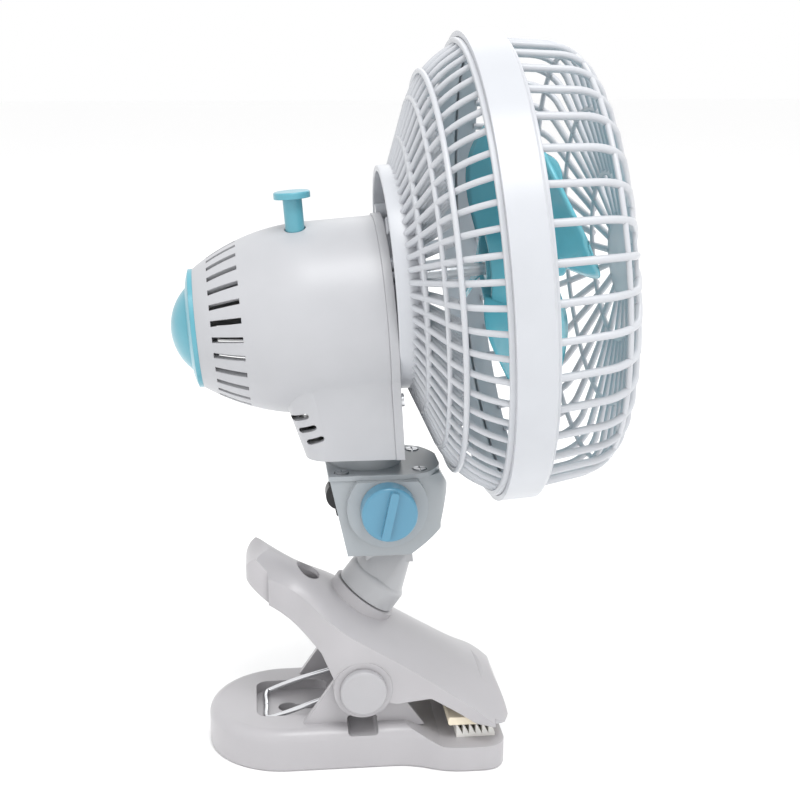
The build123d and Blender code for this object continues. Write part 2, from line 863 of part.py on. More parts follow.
with BuildPart() as neck_body:
    extrude(neck_side(0), amount=neck_half, both=True)
    extrude(neck_plan(0, neck_front + 1), amount=neck_top, mode=Mode.INTERSECT)
    with BuildSketch(tilt_side.offset(neck_half / 2)):
        Circle(boss_radius)
    extrude(amount=boss_face - neck_half / 2)
    with BuildSketch(tilt_side.offset(-neck_half / 2)):
        Circle(far_boss_radius)
    extrude(amount=neck_half / 2 - far_boss_face)
    # hollow, open at the top
    with BuildPart(mode=Mode.PRIVATE) as neck_hollow:
        extrude(neck_side(wall), amount=neck_half, both=True)
        extrude(neck_side(0), amount=neck_half, both=True, mode=Mode.INTERSECT)
        with BuildSketch(Plane.XY.offset(neck_top - 2 * wall)):
            add(neck_plan(wall, neck_brow_x - wall))
        extrude(amount=2 * wall)
        extrude(neck_plan(wall, neck_front), amount=neck_top, mode=Mode.INTERSECT)
        with BuildSketch(tilt_side):
            Circle(far_boss_radius)
        extrude(amount=through, both=True, mode=Mode.SUBTRACT)
        with Locations((neck_screw_x, neck_screw_y), (neck_screw_x, -neck_screw_y)):
            Cylinder(screw_post, 2 * neck_top, mode=Mode.SUBTRACT)
        with Locations((neck_screw_rear, neck_screw_side), (neck_screw_rear, -neck_screw_side)):
            Cylinder(screw_post, 2 * neck_top, mode=Mode.SUBTRACT)
    add(neck_hollow.part, mode=Mode.SUBTRACT)
    with BuildSketch(Plane.XY.offset(neck_top)):
        Rectangle(through, through)
    extrude(amount=boss_radius, mode=Mode.SUBTRACT)
    # room for the tongue over the whole tilt
    for angle in (-tilt_up, (tilt_down - tilt_up) / 2, tilt_down + tilt_spare):
        slot = tilt_side * Rot(0, 0, angle) * tongue_outline(moving_gap, 2 * tongue_level)
        extrude(slot, amount=tongue_half + moving_gap, both=True, mode=Mode.SUBTRACT)
    # bores of the bolt, the nut, the switch, the cord's inlet and the cover's screws
    with BuildSketch(tilt_side):
        Circle(bolt_radius + running_fit)
    extrude(amount=through, both=True, mode=Mode.SUBTRACT)
    with BuildSketch(tilt_side.offset(-far_boss_face)):
        RegularPolygon(nut_flats / 2, 6, major_radius=False)
    extrude(amount=nut_thickness, mode=Mode.SUBTRACT)
    with BuildSketch(switch_face.offset(-wall - moving_gap)):
        Rectangle(case_width - 2 * case_flange, case_length - 2 * case_flange)
    extrude(amount=3 * wall, mode=Mode.SUBTRACT)
    with BuildSketch(inlet_face.offset(-wall - moving_gap)):
        Circle(inlet_radius)
    extrude(amount=3 * wall, mode=Mode.SUBTRACT)
    with BuildSketch(Plane.XY.offset(neck_top)):
        with Locations((neck_screw_x, neck_screw_y), (neck_screw_x, -neck_screw_y)):
            Circle(screw_shank)
        with Locations((neck_screw_rear, neck_screw_side), (neck_screw_rear, -neck_screw_side)):
            Circle(screw_shank)
    extrude(amount=-boss_radius, mode=Mode.SUBTRACT)
save(neck_body, "neck_body")


# Cover of the neck, with the round collar that the head turns on
def screw_spots(level):
    """Places of the four screws in the neck's cover."""
    return [
        (neck_screw_x, neck_screw_y, level), (neck_screw_x, -neck_screw_y, level),
        (neck_screw_rear, neck_screw_side, level), (neck_screw_rear, -neck_screw_side, level),
    ]


with BuildPart() as neck_cover:
    with BuildSketch(Plane.XY.offset(neck_top)):
        add(neck_plan(0, neck_brow_x))
        offset(amount=cover_lip)
        with Locations((osc_x, 0)):
            Circle(cover_reach, mode=Mode.INTERSECT)
    extrude(amount=cover_thickness)
    with BuildSketch(Plane.XY.offset(neck_top)):
        with Locations((osc_x, 0)):
            Circle(collar_radius)
    extrude(amount=collar_top - neck_top)
    with BuildSketch(Plane.XY.offset(neck_top)):
        with Locations((osc_x, 0)):
            Circle(collar_radius - wall)
            Circle(post_flange, mode=Mode.SUBTRACT)
    extrude(amount=collar_top - neck_top - wall, mode=Mode.SUBTRACT)
    with Locations(*screw_spots(neck_top)):
        Cylinder(screw_head_radius + moving_gap, 2 * collar_top, mode=Mode.SUBTRACT)
    with Locations(*screw_spots(neck_top)):
        Cylinder(screw_post, cover_thickness / 2, align=(Align.CENTER, Align.CENTER, Align.MIN))
        Cylinder(screw_shank, 2 * cover_thickness, mode=Mode.SUBTRACT)
    with BuildSketch(Plane.XY.offset(neck_top)):
        with Locations((osc_x, 0)):
            Circle(post_radius)
    extrude(amount=collar_top, mode=Mode.SUBTRACT)
save(neck_cover, "neck_cover")

with BuildPart() as neck_screws:
    with Locations(*screw_spots(neck_top + cover_thickness / 2)):
        Cylinder(screw_head_radius, screw_head_height, align=(Align.CENTER, Align.CENTER, Align.MIN))
    with Locations(*screw_spots(neck_top + cover_thickness / 2)):
        Cylinder(screw_shank, boss_radius / 2, align=(Align.CENTER, Align.CENTER, Align.MAX))
    for spot in screw_spots(neck_top + cover_thickness / 2 + screw_head_height):
        with BuildSketch(Plane.XY.move(Location(spot))):
            Rectangle(2 * screw_head_radius, screw_head_radius / 4)
            Rectangle(screw_head_radius / 4, 2 * screw_head_radius)
        extrude(amount=-screw_head_height / 2, mode=Mode.SUBTRACT)
save(neck_screws, "neck_screws")

# Post that the head turns on, with the arm that the crank's link pulls on
with BuildPart() as neck_post:
    with BuildSketch(Plane.XY.offset(neck_top - post_flange_thickness)):
        with Locations((osc_x, 0)):
            Circle(post_flange)
    extrude(amount=post_flange_thickness)
    with BuildSketch(Plane.XY.offset(neck_top - post_flange_thickness)):
        with Locations((osc_x, 0)):
            Circle(post_radius)
    extrude(amount=tower_top + moving_gap - neck_top + post_flange_thickness)
    with BuildSketch(Plane.XY.offset(tower_top + moving_gap)):
        with Locations((osc_x, 0)):
            Circle(screw_radius)
    extrude(amount=-boss_radius, mode=Mode.SUBTRACT)
save(neck_post, "neck_post")

arm_level = tower_top + moving_gap
with BuildPart() as post_arm:
    with BuildSketch(Plane.XY.offset(arm_level)):
        with Locations((osc_x, 0)):
            Circle(arm_radius)
        with Locations((osc_x, -arm_offset)):
            Circle(arm_lobe)
        with Locations((osc_x, 0)):
            Circle(screw_radius, mode=Mode.SUBTRACT)
    extrude(amount=arm_thickness)
    with BuildSketch(Plane.XY.offset(arm_level + arm_thickness)):
        with Locations((osc_x, -arm_offset)):
            Circle(arm_pin_radius)
    extrude(amount=arm_pin_height)
save(post_arm, "post_arm")

with BuildPart() as post_screw:
    with Locations((osc_x, 0, arm_level + arm_thickness)):
        Cylinder(post_screw_head, screw_radius, align=(Align.CENTER, Align.CENTER, Align.MIN))
        Cylinder(screw_radius, boss_radius / 2, align=(Align.CENTER, Align.CENTER, Align.MAX))
    with BuildSketch(Plane.XY.offset(arm_level + arm_thickness + screw_radius)):
        with Locations((osc_x, 0)):
            Rectangle(1.6 * post_screw_head, screw_radius / 3)
            Rectangle(screw_radius / 3, 1.6 * post_screw_head)
    extrude(amount=-screw_radius / 2, mode=Mode.SUBTRACT)
save(post_screw, "post_screw")

# Tilt knob with its raised bar, the bolt it turns and the nut in the far boss
knob_seat = tilt_side.offset(boss_face + moving_gap)
with BuildPart() as tilt_knob:
    with BuildSketch(knob_seat):
        Circle(knob_radius)
    extrude(amount=knob_depth)
    fillet(tilt_knob.edges().sort_by(Axis.Y)[0], knob_bar_rise / 2)
    with BuildSketch(knob_seat.offset(knob_depth / 2)):
        with Locations(Rot(0, 0, -knob_bar_lean)):
            RectangleRounded(knob_bar_width, 2 * knob_radius - knob_bar_rise, knob_bar_width / 3)
    extrude(amount=knob_depth / 2 + knob_bar_rise)
    with BuildSketch(knob_seat):
        Circle(bolt_radius)
    extrude(amount=knob_depth / 2, mode=Mode.SUBTRACT)
save(tilt_knob, "tilt_knob")

with BuildPart() as tilt_bolt:
    with BuildSketch(knob_seat.offset(knob_depth / 2)):
        Circle(bolt_radius)
    extrude(amount=-knob_depth / 2 - moving_gap - boss_face - far_boss_face + wall / 4)
save(tilt_bolt, "tilt_bolt")

with BuildPart() as tilt_nut:
    with BuildSketch(tilt_side.offset(-far_boss_face)):
        RegularPolygon(nut_flats / 2, 6, major_radius=False)
        Circle(bolt_radius + running_fit, mode=Mode.SUBTRACT)
    extrude(amount=nut_thickness)
save(tilt_nut, "tilt_nut")

# Switch: a case in the rear wall of the neck, and the rocker in it
with BuildPart() as switch_case:
    with BuildSketch(switch_face):
        Rectangle(case_width, case_length)
    extrude(amount=case_flange)
    with BuildSketch(switch_face):
        Rectangle(case_width - 2 * case_flange, case_length - 2 * case_flange)
    extrude(amount=-case_depth)
    with BuildSketch(switch_face.offset(case_flange)):
        Rectangle(rocker_width + 2 * moving_gap, rocker_length + 4 * moving_gap)
    extrude(amount=-case_flange - rocker_depth - 2 * moving_gap, mode=Mode.SUBTRACT)
save(switch_case, "switch_case")

rocker_side = Plane(origin=switch_face.origin, x_dir=rear_down, z_dir=(0, 1, 0))
with BuildPart() as switch_rocker:
    with BuildSketch(rocker_side):
        with BuildLine():
            top = rocker_length / 2 - moving_gap
            Polyline(
                (-top, rocker_rise / 3), (-top, -rocker_depth), (top, -rocker_depth), (top, rocker_rise / 3),
            )
            ThreePointArc((-top, rocker_rise / 3), (0, rocker_rise), (top, rocker_rise / 3))
        make_face()
    extrude(amount=rocker_width / 2, both=True)
save(switch_rocker, "switch_rocker")


# ---------------------------------------------------------------------------
# Motor housing: round shell with vents behind, and the leg that turns on the neck
# ---------------------------------------------------------------------------
def round_body(inset, front):
    """Side view of half of the round shell, drawn in by a wall."""
    with BuildSketch(housing_side, mode=Mode.PRIVATE) as half:
        with BuildLine():
            rear = (cap_seat + inset, cap_seat_radius - inset)
            flank = Line((front, housing_radius - inset), (housing_round_start, housing_radius - inset))
            tail = TangentArc(flank @ 1, rear, tangent=(-1, 0))
            Polyline(tail @ 1, (cap_seat + inset, 0), (front, 0), flank @ 0)
        make_face()
    return half.sketch


def leg_sections(inset, floor):
    """Rounded outlines of the leg at its floor and at the motor's level, drawn in by a wall."""
    outlines = []
    levels = (
        (leg_bottom + floor, leg_rear_bottom, leg_half_bottom, leg_corner_bottom),
        (housing_origin.Z, leg_rear_top, leg_half_top, leg_corner_top),
    )
    for level, rear, half, corner in levels:
        length = fan_x - rear
        with BuildSketch(Plane.XY.offset(level), mode=Mode.PRIVATE) as outline:
            with Locations((rear + length / 2, 0)):
                RectangleRounded(length - 2 * inset, 2 * half - 2 * inset, corner - inset)
        outlines.append(outline.sketch.face())
    return outlines


def ahead_of(at):
    """Block that fills everything in front of a place along the fan's axis."""
    with BuildPart(fan.offset(at), mode=Mode.PRIVATE) as block:
        Box(2 * through, 2 * through, through, align=(Align.CENTER, Align.CENTER, Align.MIN))
    return block.part


post_places = [
    (post_up, post_side_up), (post_up, -post_side_up),
    (post_down, post_side_down), (post_down, -post_side_down),
]
with BuildPart() as motor_housing:
    revolve(round_body(0, 0), axis=housing_axis)
    loft(leg_sections(0, 0))
    with BuildPart(mode=Mode.PRIVATE) as housing_hollow:
        revolve(round_body(wall, 0), axis=housing_axis)
        loft(leg_sections(wall, leg_floor))
        with BuildSketch(Plane.XY.offset(leg_bottom)):
            with Locations((osc_x, 0)):
                Circle(post_radius + running_fit + tower_wall)
        extrude(amount=tower_top - leg_bottom, mode=Mode.SUBTRACT)
        with BuildSketch(fan.offset(housing_front - post_length)):
            with Locations(*post_places):
                Circle(screw_post)
        extrude(amount=post_length, mode=Mode.SUBTRACT)
    add(housing_hollow.part, mode=Mode.SUBTRACT)
    add(ahead_of(housing_front), mode=Mode.SUBTRACT)
    # round opening under the rear cap, and the vents round it
    with BuildSketch(housing.offset(cap_seat)):
        Circle(cap_seat_radius - 2 * wall)
    extrude(amount=2 * wall, mode=Mode.SUBTRACT)
    with BuildPart(mode=Mode.PRIVATE) as vents:
        with BuildSketch(housing.offset(vent_start)):
            with PolarLocations(housing_radius / 2 + cap_seat_radius / 2, vent_count):
                Rectangle(housing_radius / 2, vent_width)
        extrude(amount=vent_end - vent_start)
    add(vents.part, mode=Mode.SUBTRACT)
    # slanted slots low on both sides
    with BuildSketch(middle):
        for slot in range(side_slot_count):
            with Locations((side_slot_x + slot * side_slot_pitch, side_slot_z - slot * side_slot_drop)):
                SlotOverall(side_slot_length, side_slot_width, rotation=side_slot_lean)
    extrude(amount=through, both=True, mode=Mode.SUBTRACT)
    # bores of the neck's post, the oscillation knob and the housing's screws
    with BuildSketch(Plane.XY.offset(leg_bottom - wall)):
        with Locations((osc_x, 0)):
            Circle(post_radius + running_fit)
    extrude(amount=tower_top, mode=Mode.SUBTRACT)
    with BuildSketch(spindle):
        Circle(knob_stem_radius + moving_gap)
    extrude(amount=housing_radius, mode=Mode.SUBTRACT)
    with BuildSketch(fan.offset(housing_front)):
        with Locations(*post_places):
            Circle(screw_shank)
    extrude(amount=-post_length / 2, mode=Mode.SUBTRACT)
save(motor_housing, "motor_housing")

# Front plate of the housing, with the front of the leg
leg_bottom_up = (leg_bottom - fan_z) / cos(lean) - housing_front * sin(lean)
with BuildPart() as housing_front_plate:
    with BuildSketch(fan.offset(housing_front)):
        with Locations((-housing_drop, 0)):
            Circle(housing_radius + plate_lip)
        with BuildLine():
            Polyline(
                (-housing_drop, leg_half_top + plate_lip), (leg_bottom_up - wall, leg_half_bottom),
                (leg_bottom_up - wall, -leg_half_bottom),
                (-housing_drop, -leg_half_top - plate_lip),
                close=True,
            )
        make_face()
        Circle(plate_hole, mode=Mode.SUBTRACT)
        with Locations(*post_places):
            Circle(screw_shank, mode=Mode.SUBTRACT)
    extrude(amount=plate_front - housing_front)
    with BuildSketch(Plane.XY.offset(leg_bottom)):
        Rectangle(through, through)
    extrude(amount=-through, mode=Mode.SUBTRACT)
save(housing_front_plate, "housing_front")

with BuildPart() as housing_screws:
    with BuildSketch(fan.offset(plate_front)):
        with Locations(*post_places):
            Circle(screw_head_radius)
    extrude(amount=screw_head_height)
    with BuildSketch(fan.offset(plate_front)):
        with Locations(*post_places):
            Circle(screw_shank)
    extrude(amount=-post_length / 2)
save(housing_screws, "housing_screws")

# Rear cap: flange, cove and a dome with a scoop for a fingertip
with BuildPart() as rear_cap:
    with BuildSketch(housing_side):
        with BuildLine():
            seat = cap_seat - cap_flange
            Polyline((cap_seat, 0), (cap_seat, cap_seat_radius), (seat, cap_seat_radius))
            cove = ThreePointArc(
                (seat, cap_seat_radius),
                (seat - cap_cove_depth / 3, (cap_seat_radius + cap_cove_radius) / 2),
                (cap_seat - cap_cove_depth, cap_cove_radius),
            )
            TangentArc((cap_seat - cap_dome_depth, 0), cove @ 1, tangent=(0, 1))
            Line((cap_seat - cap_dome_depth, 0), (cap_seat, 0))
        make_face()
    revolve(axis=housing_axis)
    with BuildSketch(housing_side):
        with BuildLine():
            inner = (cap_seat - cap_dome_depth + cap_wall, 0)
            Polyline(inner, (cap_seat, 0), (cap_seat, cap_cove_radius - cap_wall))
            TangentArc(inner, (cap_seat, cap_cove_radius - cap_wall), tangent=(0, 1))
        make_face()
    revolve(axis=housing_axis, mode=Mode.SUBTRACT)
save(rear_cap, "rear_cap")

# ---------------------------------------------------------------------------
# Motor: laminated stator with its windings, rotor, shaft, brackets and bearings
# ---------------------------------------------------------------------------
def ring(name, at, length, outer, inner):
    """Plain ring round the fan's axis, saved under its name."""
    with BuildPart() as piece:
        with BuildSketch(fan.offset(at)):
            Circle(outer)
            Circle(inner, mode=Mode.SUBTRACT)
        extrude(amount=length)
    save(piece, name)


def bracket(name, at, hole):
    """Pressed plate across the stator, with a hub for its bearing."""
    with BuildPart() as piece:
        with BuildSketch(fan.offset(at)):
            RectangleRounded(2 * bracket_half, 2 * stator_radius, bracket_half / 2)
            Circle(bearing_radius + bracket_thickness)
            Circle(hole, mode=Mode.SUBTRACT)
            with Locations((0, motor_screw_reach), (0, -motor_screw_reach)):
                Circle(screw_shank, mode=Mode.SUBTRACT)
        extrude(amount=bracket_thickness)
    save(piece, name)


stator_front = stator_rear + stator_length
rear_bracket_at = stator_rear - coil_length - bracket_gap - bracket_thickness
front_bracket_at = stator_front + coil_length + bracket_gap
with BuildPart() as stator_core:
    with BuildSketch(fan.offset(stator_rear)):
        Circle(stator_radius)
        Circle(stator_bore, mode=Mode.SUBTRACT)
        with Locations((0, motor_screw_reach), (0, -motor_screw_reach)):
            Circle(screw_shank, mode=Mode.SUBTRACT)
    extrude(amount=stator_length)
save(stator_core, "stator_core")

with BuildPart() as stator_windings:
    for at in (stator_rear - coil_length, stator_front):
        with BuildSketch(fan.offset(at)):
            Circle(coil_outer)
            Circle(coil_inner, mode=Mode.SUBTRACT)
            with Locations((0, motor_screw_reach), (0, -motor_screw_reach)):
                Circle(screw_post, mode=Mode.SUBTRACT)
        extrude(amount=coil_length)
save(stator_windings, "stator_windings")

ring("rotor_core", stator_rear, stator_length, stator_bore - air_gap, shaft_radius)
bracket("rear_bracket", rear_bracket_at, bearing_radius)
bracket("front_bracket", front_bracket_at, bearing_radius)
with BuildPart() as motor_bearings:
    for at in (rear_bracket_at, front_bracket_at + bracket_thickness - bearing_length):
        with BuildSketch(fan.offset(at)):
            Circle(bearing_radius)
            Circle(shaft_radius + running_fit, mode=Mode.SUBTRACT)
        extrude(amount=bearing_length)
save(motor_bearings, "motor_bearings")

with BuildPart() as motor_screws:
    with BuildSketch(fan.offset(rear_bracket_at)):
        with Locations((0, motor_screw_reach), (0, -motor_screw_reach)):
            Circle(screw_shank)
    extrude(amount=housing_front - rear_bracket_at)
    with BuildSketch(fan.offset(rear_bracket_at)):
        with Locations((0, motor_screw_reach), (0, -motor_screw_reach)):
            Circle(screw_head_radius)
    extrude(amount=-screw_head_height)
save(motor_screws, "motor_screws")

with BuildPart() as motor_shaft:
    with BuildSketch(fan.offset(shaft_rear)):
        Circle(shaft_radius)
    extrude(amount=shaft_front - shaft_rear)
    chamfer(motor_shaft.edges(), shaft_radius / 8)
save(motor_shaft, "motor_shaft")

# ---------------------------------------------------------------------------
# Oscillating gear: worm on the shaft, wheel and crank on an upright spindle
# ---------------------------------------------------------------------------
with BuildPart() as worm_gear:
    with BuildSketch(fan.offset(spindle_at - wheel_radius)):
        Circle(worm_radius)
        Circle(shaft_radius, mode=Mode.SUBTRACT)
    extrude(amount=2 * wheel_radius - bracket_gap)
save(worm_gear, "worm_gear")

with BuildPart() as worm_wheel:
    with BuildSketch(spindle.offset(-wheel_height / 2)):
        Circle(wheel_radius)
        with PolarLocations(wheel_radius, wheel_teeth):
            Circle(tooth_depth / 2, mode=Mode.SUBTRACT)
    extrude(amount=wheel_height)
    with BuildSketch(spindle.offset(crank_level)):
        Circle(spindle_radius)
    extrude(amount=case_half_height + bracket_gap - crank_level)
save(worm_wheel, "worm_wheel")

case_rear = spindle_at - wheel_radius - case_half_length
with BuildPart() as gearbox_case:
    case_middle = (case_rear + rear_bracket_at) / 2 - spindle_at
    case_length_in = rear_bracket_at - case_rear
    case_side = (spindle_side + worm_radius - wheel_radius) / 2
    case_width_in = spindle_side + worm_radius + wheel_radius + 3 * case_plate
    with BuildSketch(spindle.offset(-case_half_height)):
        with Locations((case_middle, case_side)):
            Rectangle(case_length_in, case_width_in)
    extrude(amount=2 * case_half_height)
    with BuildSketch(spindle.offset(-case_half_height + case_plate)):
        with Locations((case_middle + case_plate, case_side)):
            Rectangle(case_length_in, case_width_in - 2 * case_plate)
    extrude(amount=2 * case_half_height - 2 * case_plate, mode=Mode.SUBTRACT)
    with BuildSketch(spindle):
        Circle(spindle_radius + running_fit)
    extrude(amount=through, both=True, mode=Mode.SUBTRACT)
    with BuildSketch(fan.offset(case_rear)):
        Circle(shaft_radius + moving_gap)
    extrude(amount=2 * case_plate, mode=Mode.SUBTRACT)
save(gearbox_case, "gearbox_case")

with BuildPart() as crank_disc:
    with BuildSketch(spindle.offset(crank_level - crank_thickness)):
        Circle(crank_radius)
    extrude(amount=crank_thickness)
    with BuildSketch(spindle.offset(crank_level - crank_thickness)):
        with Locations((crank_throw, 0)):
            Circle(crank_pin_radius)
    extrude(amount=-link_thickness - 2 * link_gap)
save(crank_disc, "crank_disc")

# the link reaches from the crank's pin to the pin of the arm
link_eye_x = osc_x - (spindle_origin + upward * crank_level).X
link_eye_y = spindle_side - arm_offset
link_length = hypot(link_eye_x - crank_throw, link_eye_y)
link_turn = degrees(atan2(link_eye_y, link_eye_x - crank_throw))
with BuildPart() as crank_link:
    with BuildSketch(spindle.offset(crank_level - crank_thickness - link_gap)):
        with Locations(((crank_throw + link_eye_x) / 2, link_eye_y / 2)):
            SlotOverall(link_length + 2 * link_half, 2 * link_half, rotation=link_turn)
        with Locations((crank_throw, 0)):
            Circle(crank_pin_radius + running_fit, mode=Mode.SUBTRACT)
        with Locations((link_eye_x, link_eye_y)):
            Circle(arm_pin_radius + running_fit, mode=Mode.SUBTRACT)
    extrude(amount=-link_thickness)
save(crank_link, "crank_link")

with BuildPart() as oscillation_knob:
    with BuildSketch(spindle.offset(knob_stem_foot)):
        Circle(knob_stem_radius)
    extrude(amount=knob_disc_level - knob_stem_foot)
    with BuildSketch(spindle.offset(knob_disc_level)):
        Circle(knob_disc_radius)
    extrude(amount=knob_disc_thickness)
    fillet(oscillation_knob.faces().sort_by(Axis.Z)[-1].edges(), knob_disc_round)
save(oscillation_knob, "oscillation_knob")

# ---------------------------------------------------------------------------
# Grilles: ribs bent from one side profile and patterned round the fan's axis
# ---------------------------------------------------------------------------
rib_end = rim_radius - rim_wall - ring_gap - ring_wall + rib_overlap

with BuildPart() as rear_rib:
    with BuildSketch(Plane.XZ):
        with BuildLine():
            spine = FilletPolyline(
                (tube_radius - tube_wall / 2, rib_foot), (shoulder_radius, shoulder_at),
                (rib_end, rear_ring_start + rib_overlap), radius=shoulder_round,
            )
            offset(spine, amount=rear_rib_depth, side=Side.LEFT)
        make_face()
    extrude(amount=rear_rib_width / 2, both=True)


def hoop(at, radius):
    """Flat ring of the grilles, at a place along the axis."""
    with BuildPart(mode=Mode.PRIVATE) as piece:
        with BuildSketch(Plane.XY.offset(at - hoop_depth / 2)):
            Circle(radius + hoop_width / 2)
            Circle(radius - hoop_width / 2, mode=Mode.SUBTRACT)
        extrude(amount=hoop_depth)
    return piece.part


rib_slope = (shoulder_at - rib_foot) / (shoulder_radius - tube_radius)
mid_hoop_at = rib_foot + rib_slope * (mid_hoop_radius - tube_radius) + hoop_depth / 2
with BuildPart(fan) as rear_grille:
    with BuildSketch(fan.offset(rear_ring_start)):
        Circle(rim_radius - rim_wall - ring_gap)
        Circle(rim_radius - rim_wall - ring_gap - ring_wall, mode=Mode.SUBTRACT)
    extrude(amount=rear_ring_end - rear_ring_start)
    with PolarLocations(0, rear_ribs):
        add(rear_rib.part)
    add(hoop(mid_hoop_at, mid_hoop_radius))
    add(hoop(shoulder_at + hoop_depth / 2, shoulder_radius))
    with BuildSketch(fan.offset(tube_rear)):
        Circle(tube_radius)
        Circle(tube_radius - tube_wall, mode=Mode.SUBTRACT)
        with PolarLocations(standoff_reach, 4, start_angle=45):
            Circle(standoff_radius)
    extrude(amount=plate_at - tube_rear)
    with BuildSketch(fan.offset(plate_at)):
        Circle(plate_radius)
    extrude(amount=plate_thickness)
    with BuildSketch(fan.offset(tube_rear)):
        Circle(plate_hole)
        with PolarLocations(standoff_reach, 4, start_angle=45):
            Circle(screw_shank)
    extrude(amount=-tube_rear, mode=Mode.SUBTRACT)
save(rear_grille, "rear_grille")

with BuildPart() as grille_screws:
    with BuildSketch(fan.offset(plate_at + plate_thickness)):
        with PolarLocations(standoff_reach, 4, start_angle=45):
            Circle(screw_head_radius)
    extrude(amount=screw_head_height)
    with BuildSketch(fan.offset(plate_at + plate_thickness)):
        with PolarLocations(standoff_reach, 4, start_angle=45):
            Circle(screw_shank)
    extrude(amount=tube_rear - plate_at - plate_thickness)
save(grille_screws, "grille_screws")

with BuildPart() as rim_band:
    with BuildSketch(fan):
        Circle(rim_radius)
        Circle(rim_radius - rim_wall, mode=Mode.SUBTRACT)
    extrude(amount=rim_width)
    fillet(rim_band.faces().sort_by(fan_axis)[-1].edges().sort_by(SortBy.LENGTH)[-1], rim_wall / 2)
    with BuildSketch(fan.offset(rim_width / 2 - rim_latch_length / 2)):
        with Locations((-rim_radius, 0)):
            Rectangle(2 * rim_latch_rise, rim_latch_width)
    extrude(amount=rim_latch_length)
save(rim_band, "rim_band")

with BuildPart() as front_rib:
    with BuildSketch(Plane.XZ):
        with BuildLine():
            with BuildLine(mode=Mode.PRIVATE) as dome:
                side = Line((rib_end, front_ring_end - rib_overlap), (dome_side_radius, dome_side_at))
                edge = TangentArc(side @ 1, (dome_edge_radius, dome_edge_at), tangent=side % 1)
                TangentArc(edge @ 1, (centre_radius - rib_overlap, dome_front), tangent=edge % 1)
            add(dome.line)
            offset(dome.line, amount=front_rib_depth, side=Side.LEFT)
        make_face()
    extrude(amount=front_rib_width / 2, both=True)

with BuildPart() as short_rib:
    add(front_rib.part)
    Cylinder(inner_hoop_radius, through, mode=Mode.SUBTRACT)

with BuildPart(fan) as front_grille:
    with BuildSketch(fan.offset(front_ring_start)):
        Circle(rim_radius - rim_wall - ring_gap)
        Circle(rim_radius - rim_wall - ring_gap - ring_wall, mode=Mode.SUBTRACT)
    extrude(amount=front_ring_end - front_ring_start)
    with PolarLocations(0, front_ribs // 2):
        add(front_rib.part)
    with PolarLocations(0, front_ribs // 2, start_angle=360 / front_ribs):
        add(short_rib.part)
    add(hoop(side_hoop_at, side_hoop_radius))
    add(hoop(mid_hoop_front_at, mid_hoop_front_radius))
    add(hoop(inner_hoop_at, inner_hoop_radius))
    with BuildSketch(fan.offset(dome_front - front_rib_depth)):
        Circle(centre_radius)
    extrude(amount=front_rib_depth)
save(front_grille, "front_grille")

with BuildPart() as centre_badge:
    with BuildSketch(fan.offset(dome_front)):
        Circle(badge_radius)
    extrude(amount=badge_thickness)
    fillet(centre_badge.faces().sort_by(fan_axis)[-1].edges(), badge_round)
save(centre_badge, "centre_badge")

# ---------------------------------------------------------------------------
# Blade: a hub and twisted blades lofted from thin sections, then its nut
# ---------------------------------------------------------------------------


def blade_section(radius, chord, pitch):
    """Thin oval section of a blade at a distance from the axis."""
    turn = radians(pitch)
    plane = Plane(origin=(radius, 0, blade_level), x_dir=(0, cos(turn), sin(turn)), z_dir=(1, 0, 0))
    with BuildSketch(plane, mode=Mode.PRIVATE) as section:
        Ellipse(chord / 2, blade_thickness / 2)
    return section.sketch.face()


with BuildPart() as blade:
    loft([
        blade_section(blade_root, blade_root_chord, blade_root_pitch),
        blade_section(blade_mid, blade_mid_chord, blade_mid_pitch),
        blade_section(blade_tip, blade_tip_chord, blade_tip_pitch),
    ])

with BuildPart(fan) as fan_blade:
    with BuildSketch(fan.offset(hub_rear)):
        Circle(hub_radius)
    extrude(amount=hub_front - hub_rear)
    fillet(fan_blade.faces().sort_by(fan_axis)[-1].edges(), hub_round)
    with PolarLocations(0, blade_count, start_angle=blade_first):
        add(blade.part)
    with BuildSketch(fan.offset(hub_rear)):
        Circle(hub_radius - hub_wall)
        Circle(hub_boss, mode=Mode.SUBTRACT)
    extrude(amount=hub_front - hub_rear - hub_round, mode=Mode.SUBTRACT)
    with BuildSketch(fan):
        Circle(shaft_radius)
    extrude(amount=shaft_front, mode=Mode.SUBTRACT)
save(fan_blade, "fan_blade")

with BuildPart() as blade_nut:
    with BuildSketch(fan.offset(hub_front)):
        Circle(nut_cap_radius)
    extrude(amount=nut_cap_height)
    fillet(blade_nut.faces().sort_by(fan_axis)[-1].edges(), nut_cap_radius / 3)
    with BuildSketch(fan.offset(hub_front)):
        Circle(shaft_radius)
    extrude(amount=shaft_front - hub_front, mode=Mode.SUBTRACT)
save(blade_nut, "blade_nut")
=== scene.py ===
import json
from math import atan2, cos, pi, radians, sin

import bmesh
import bpy
from mathutils import Matrix, Vector


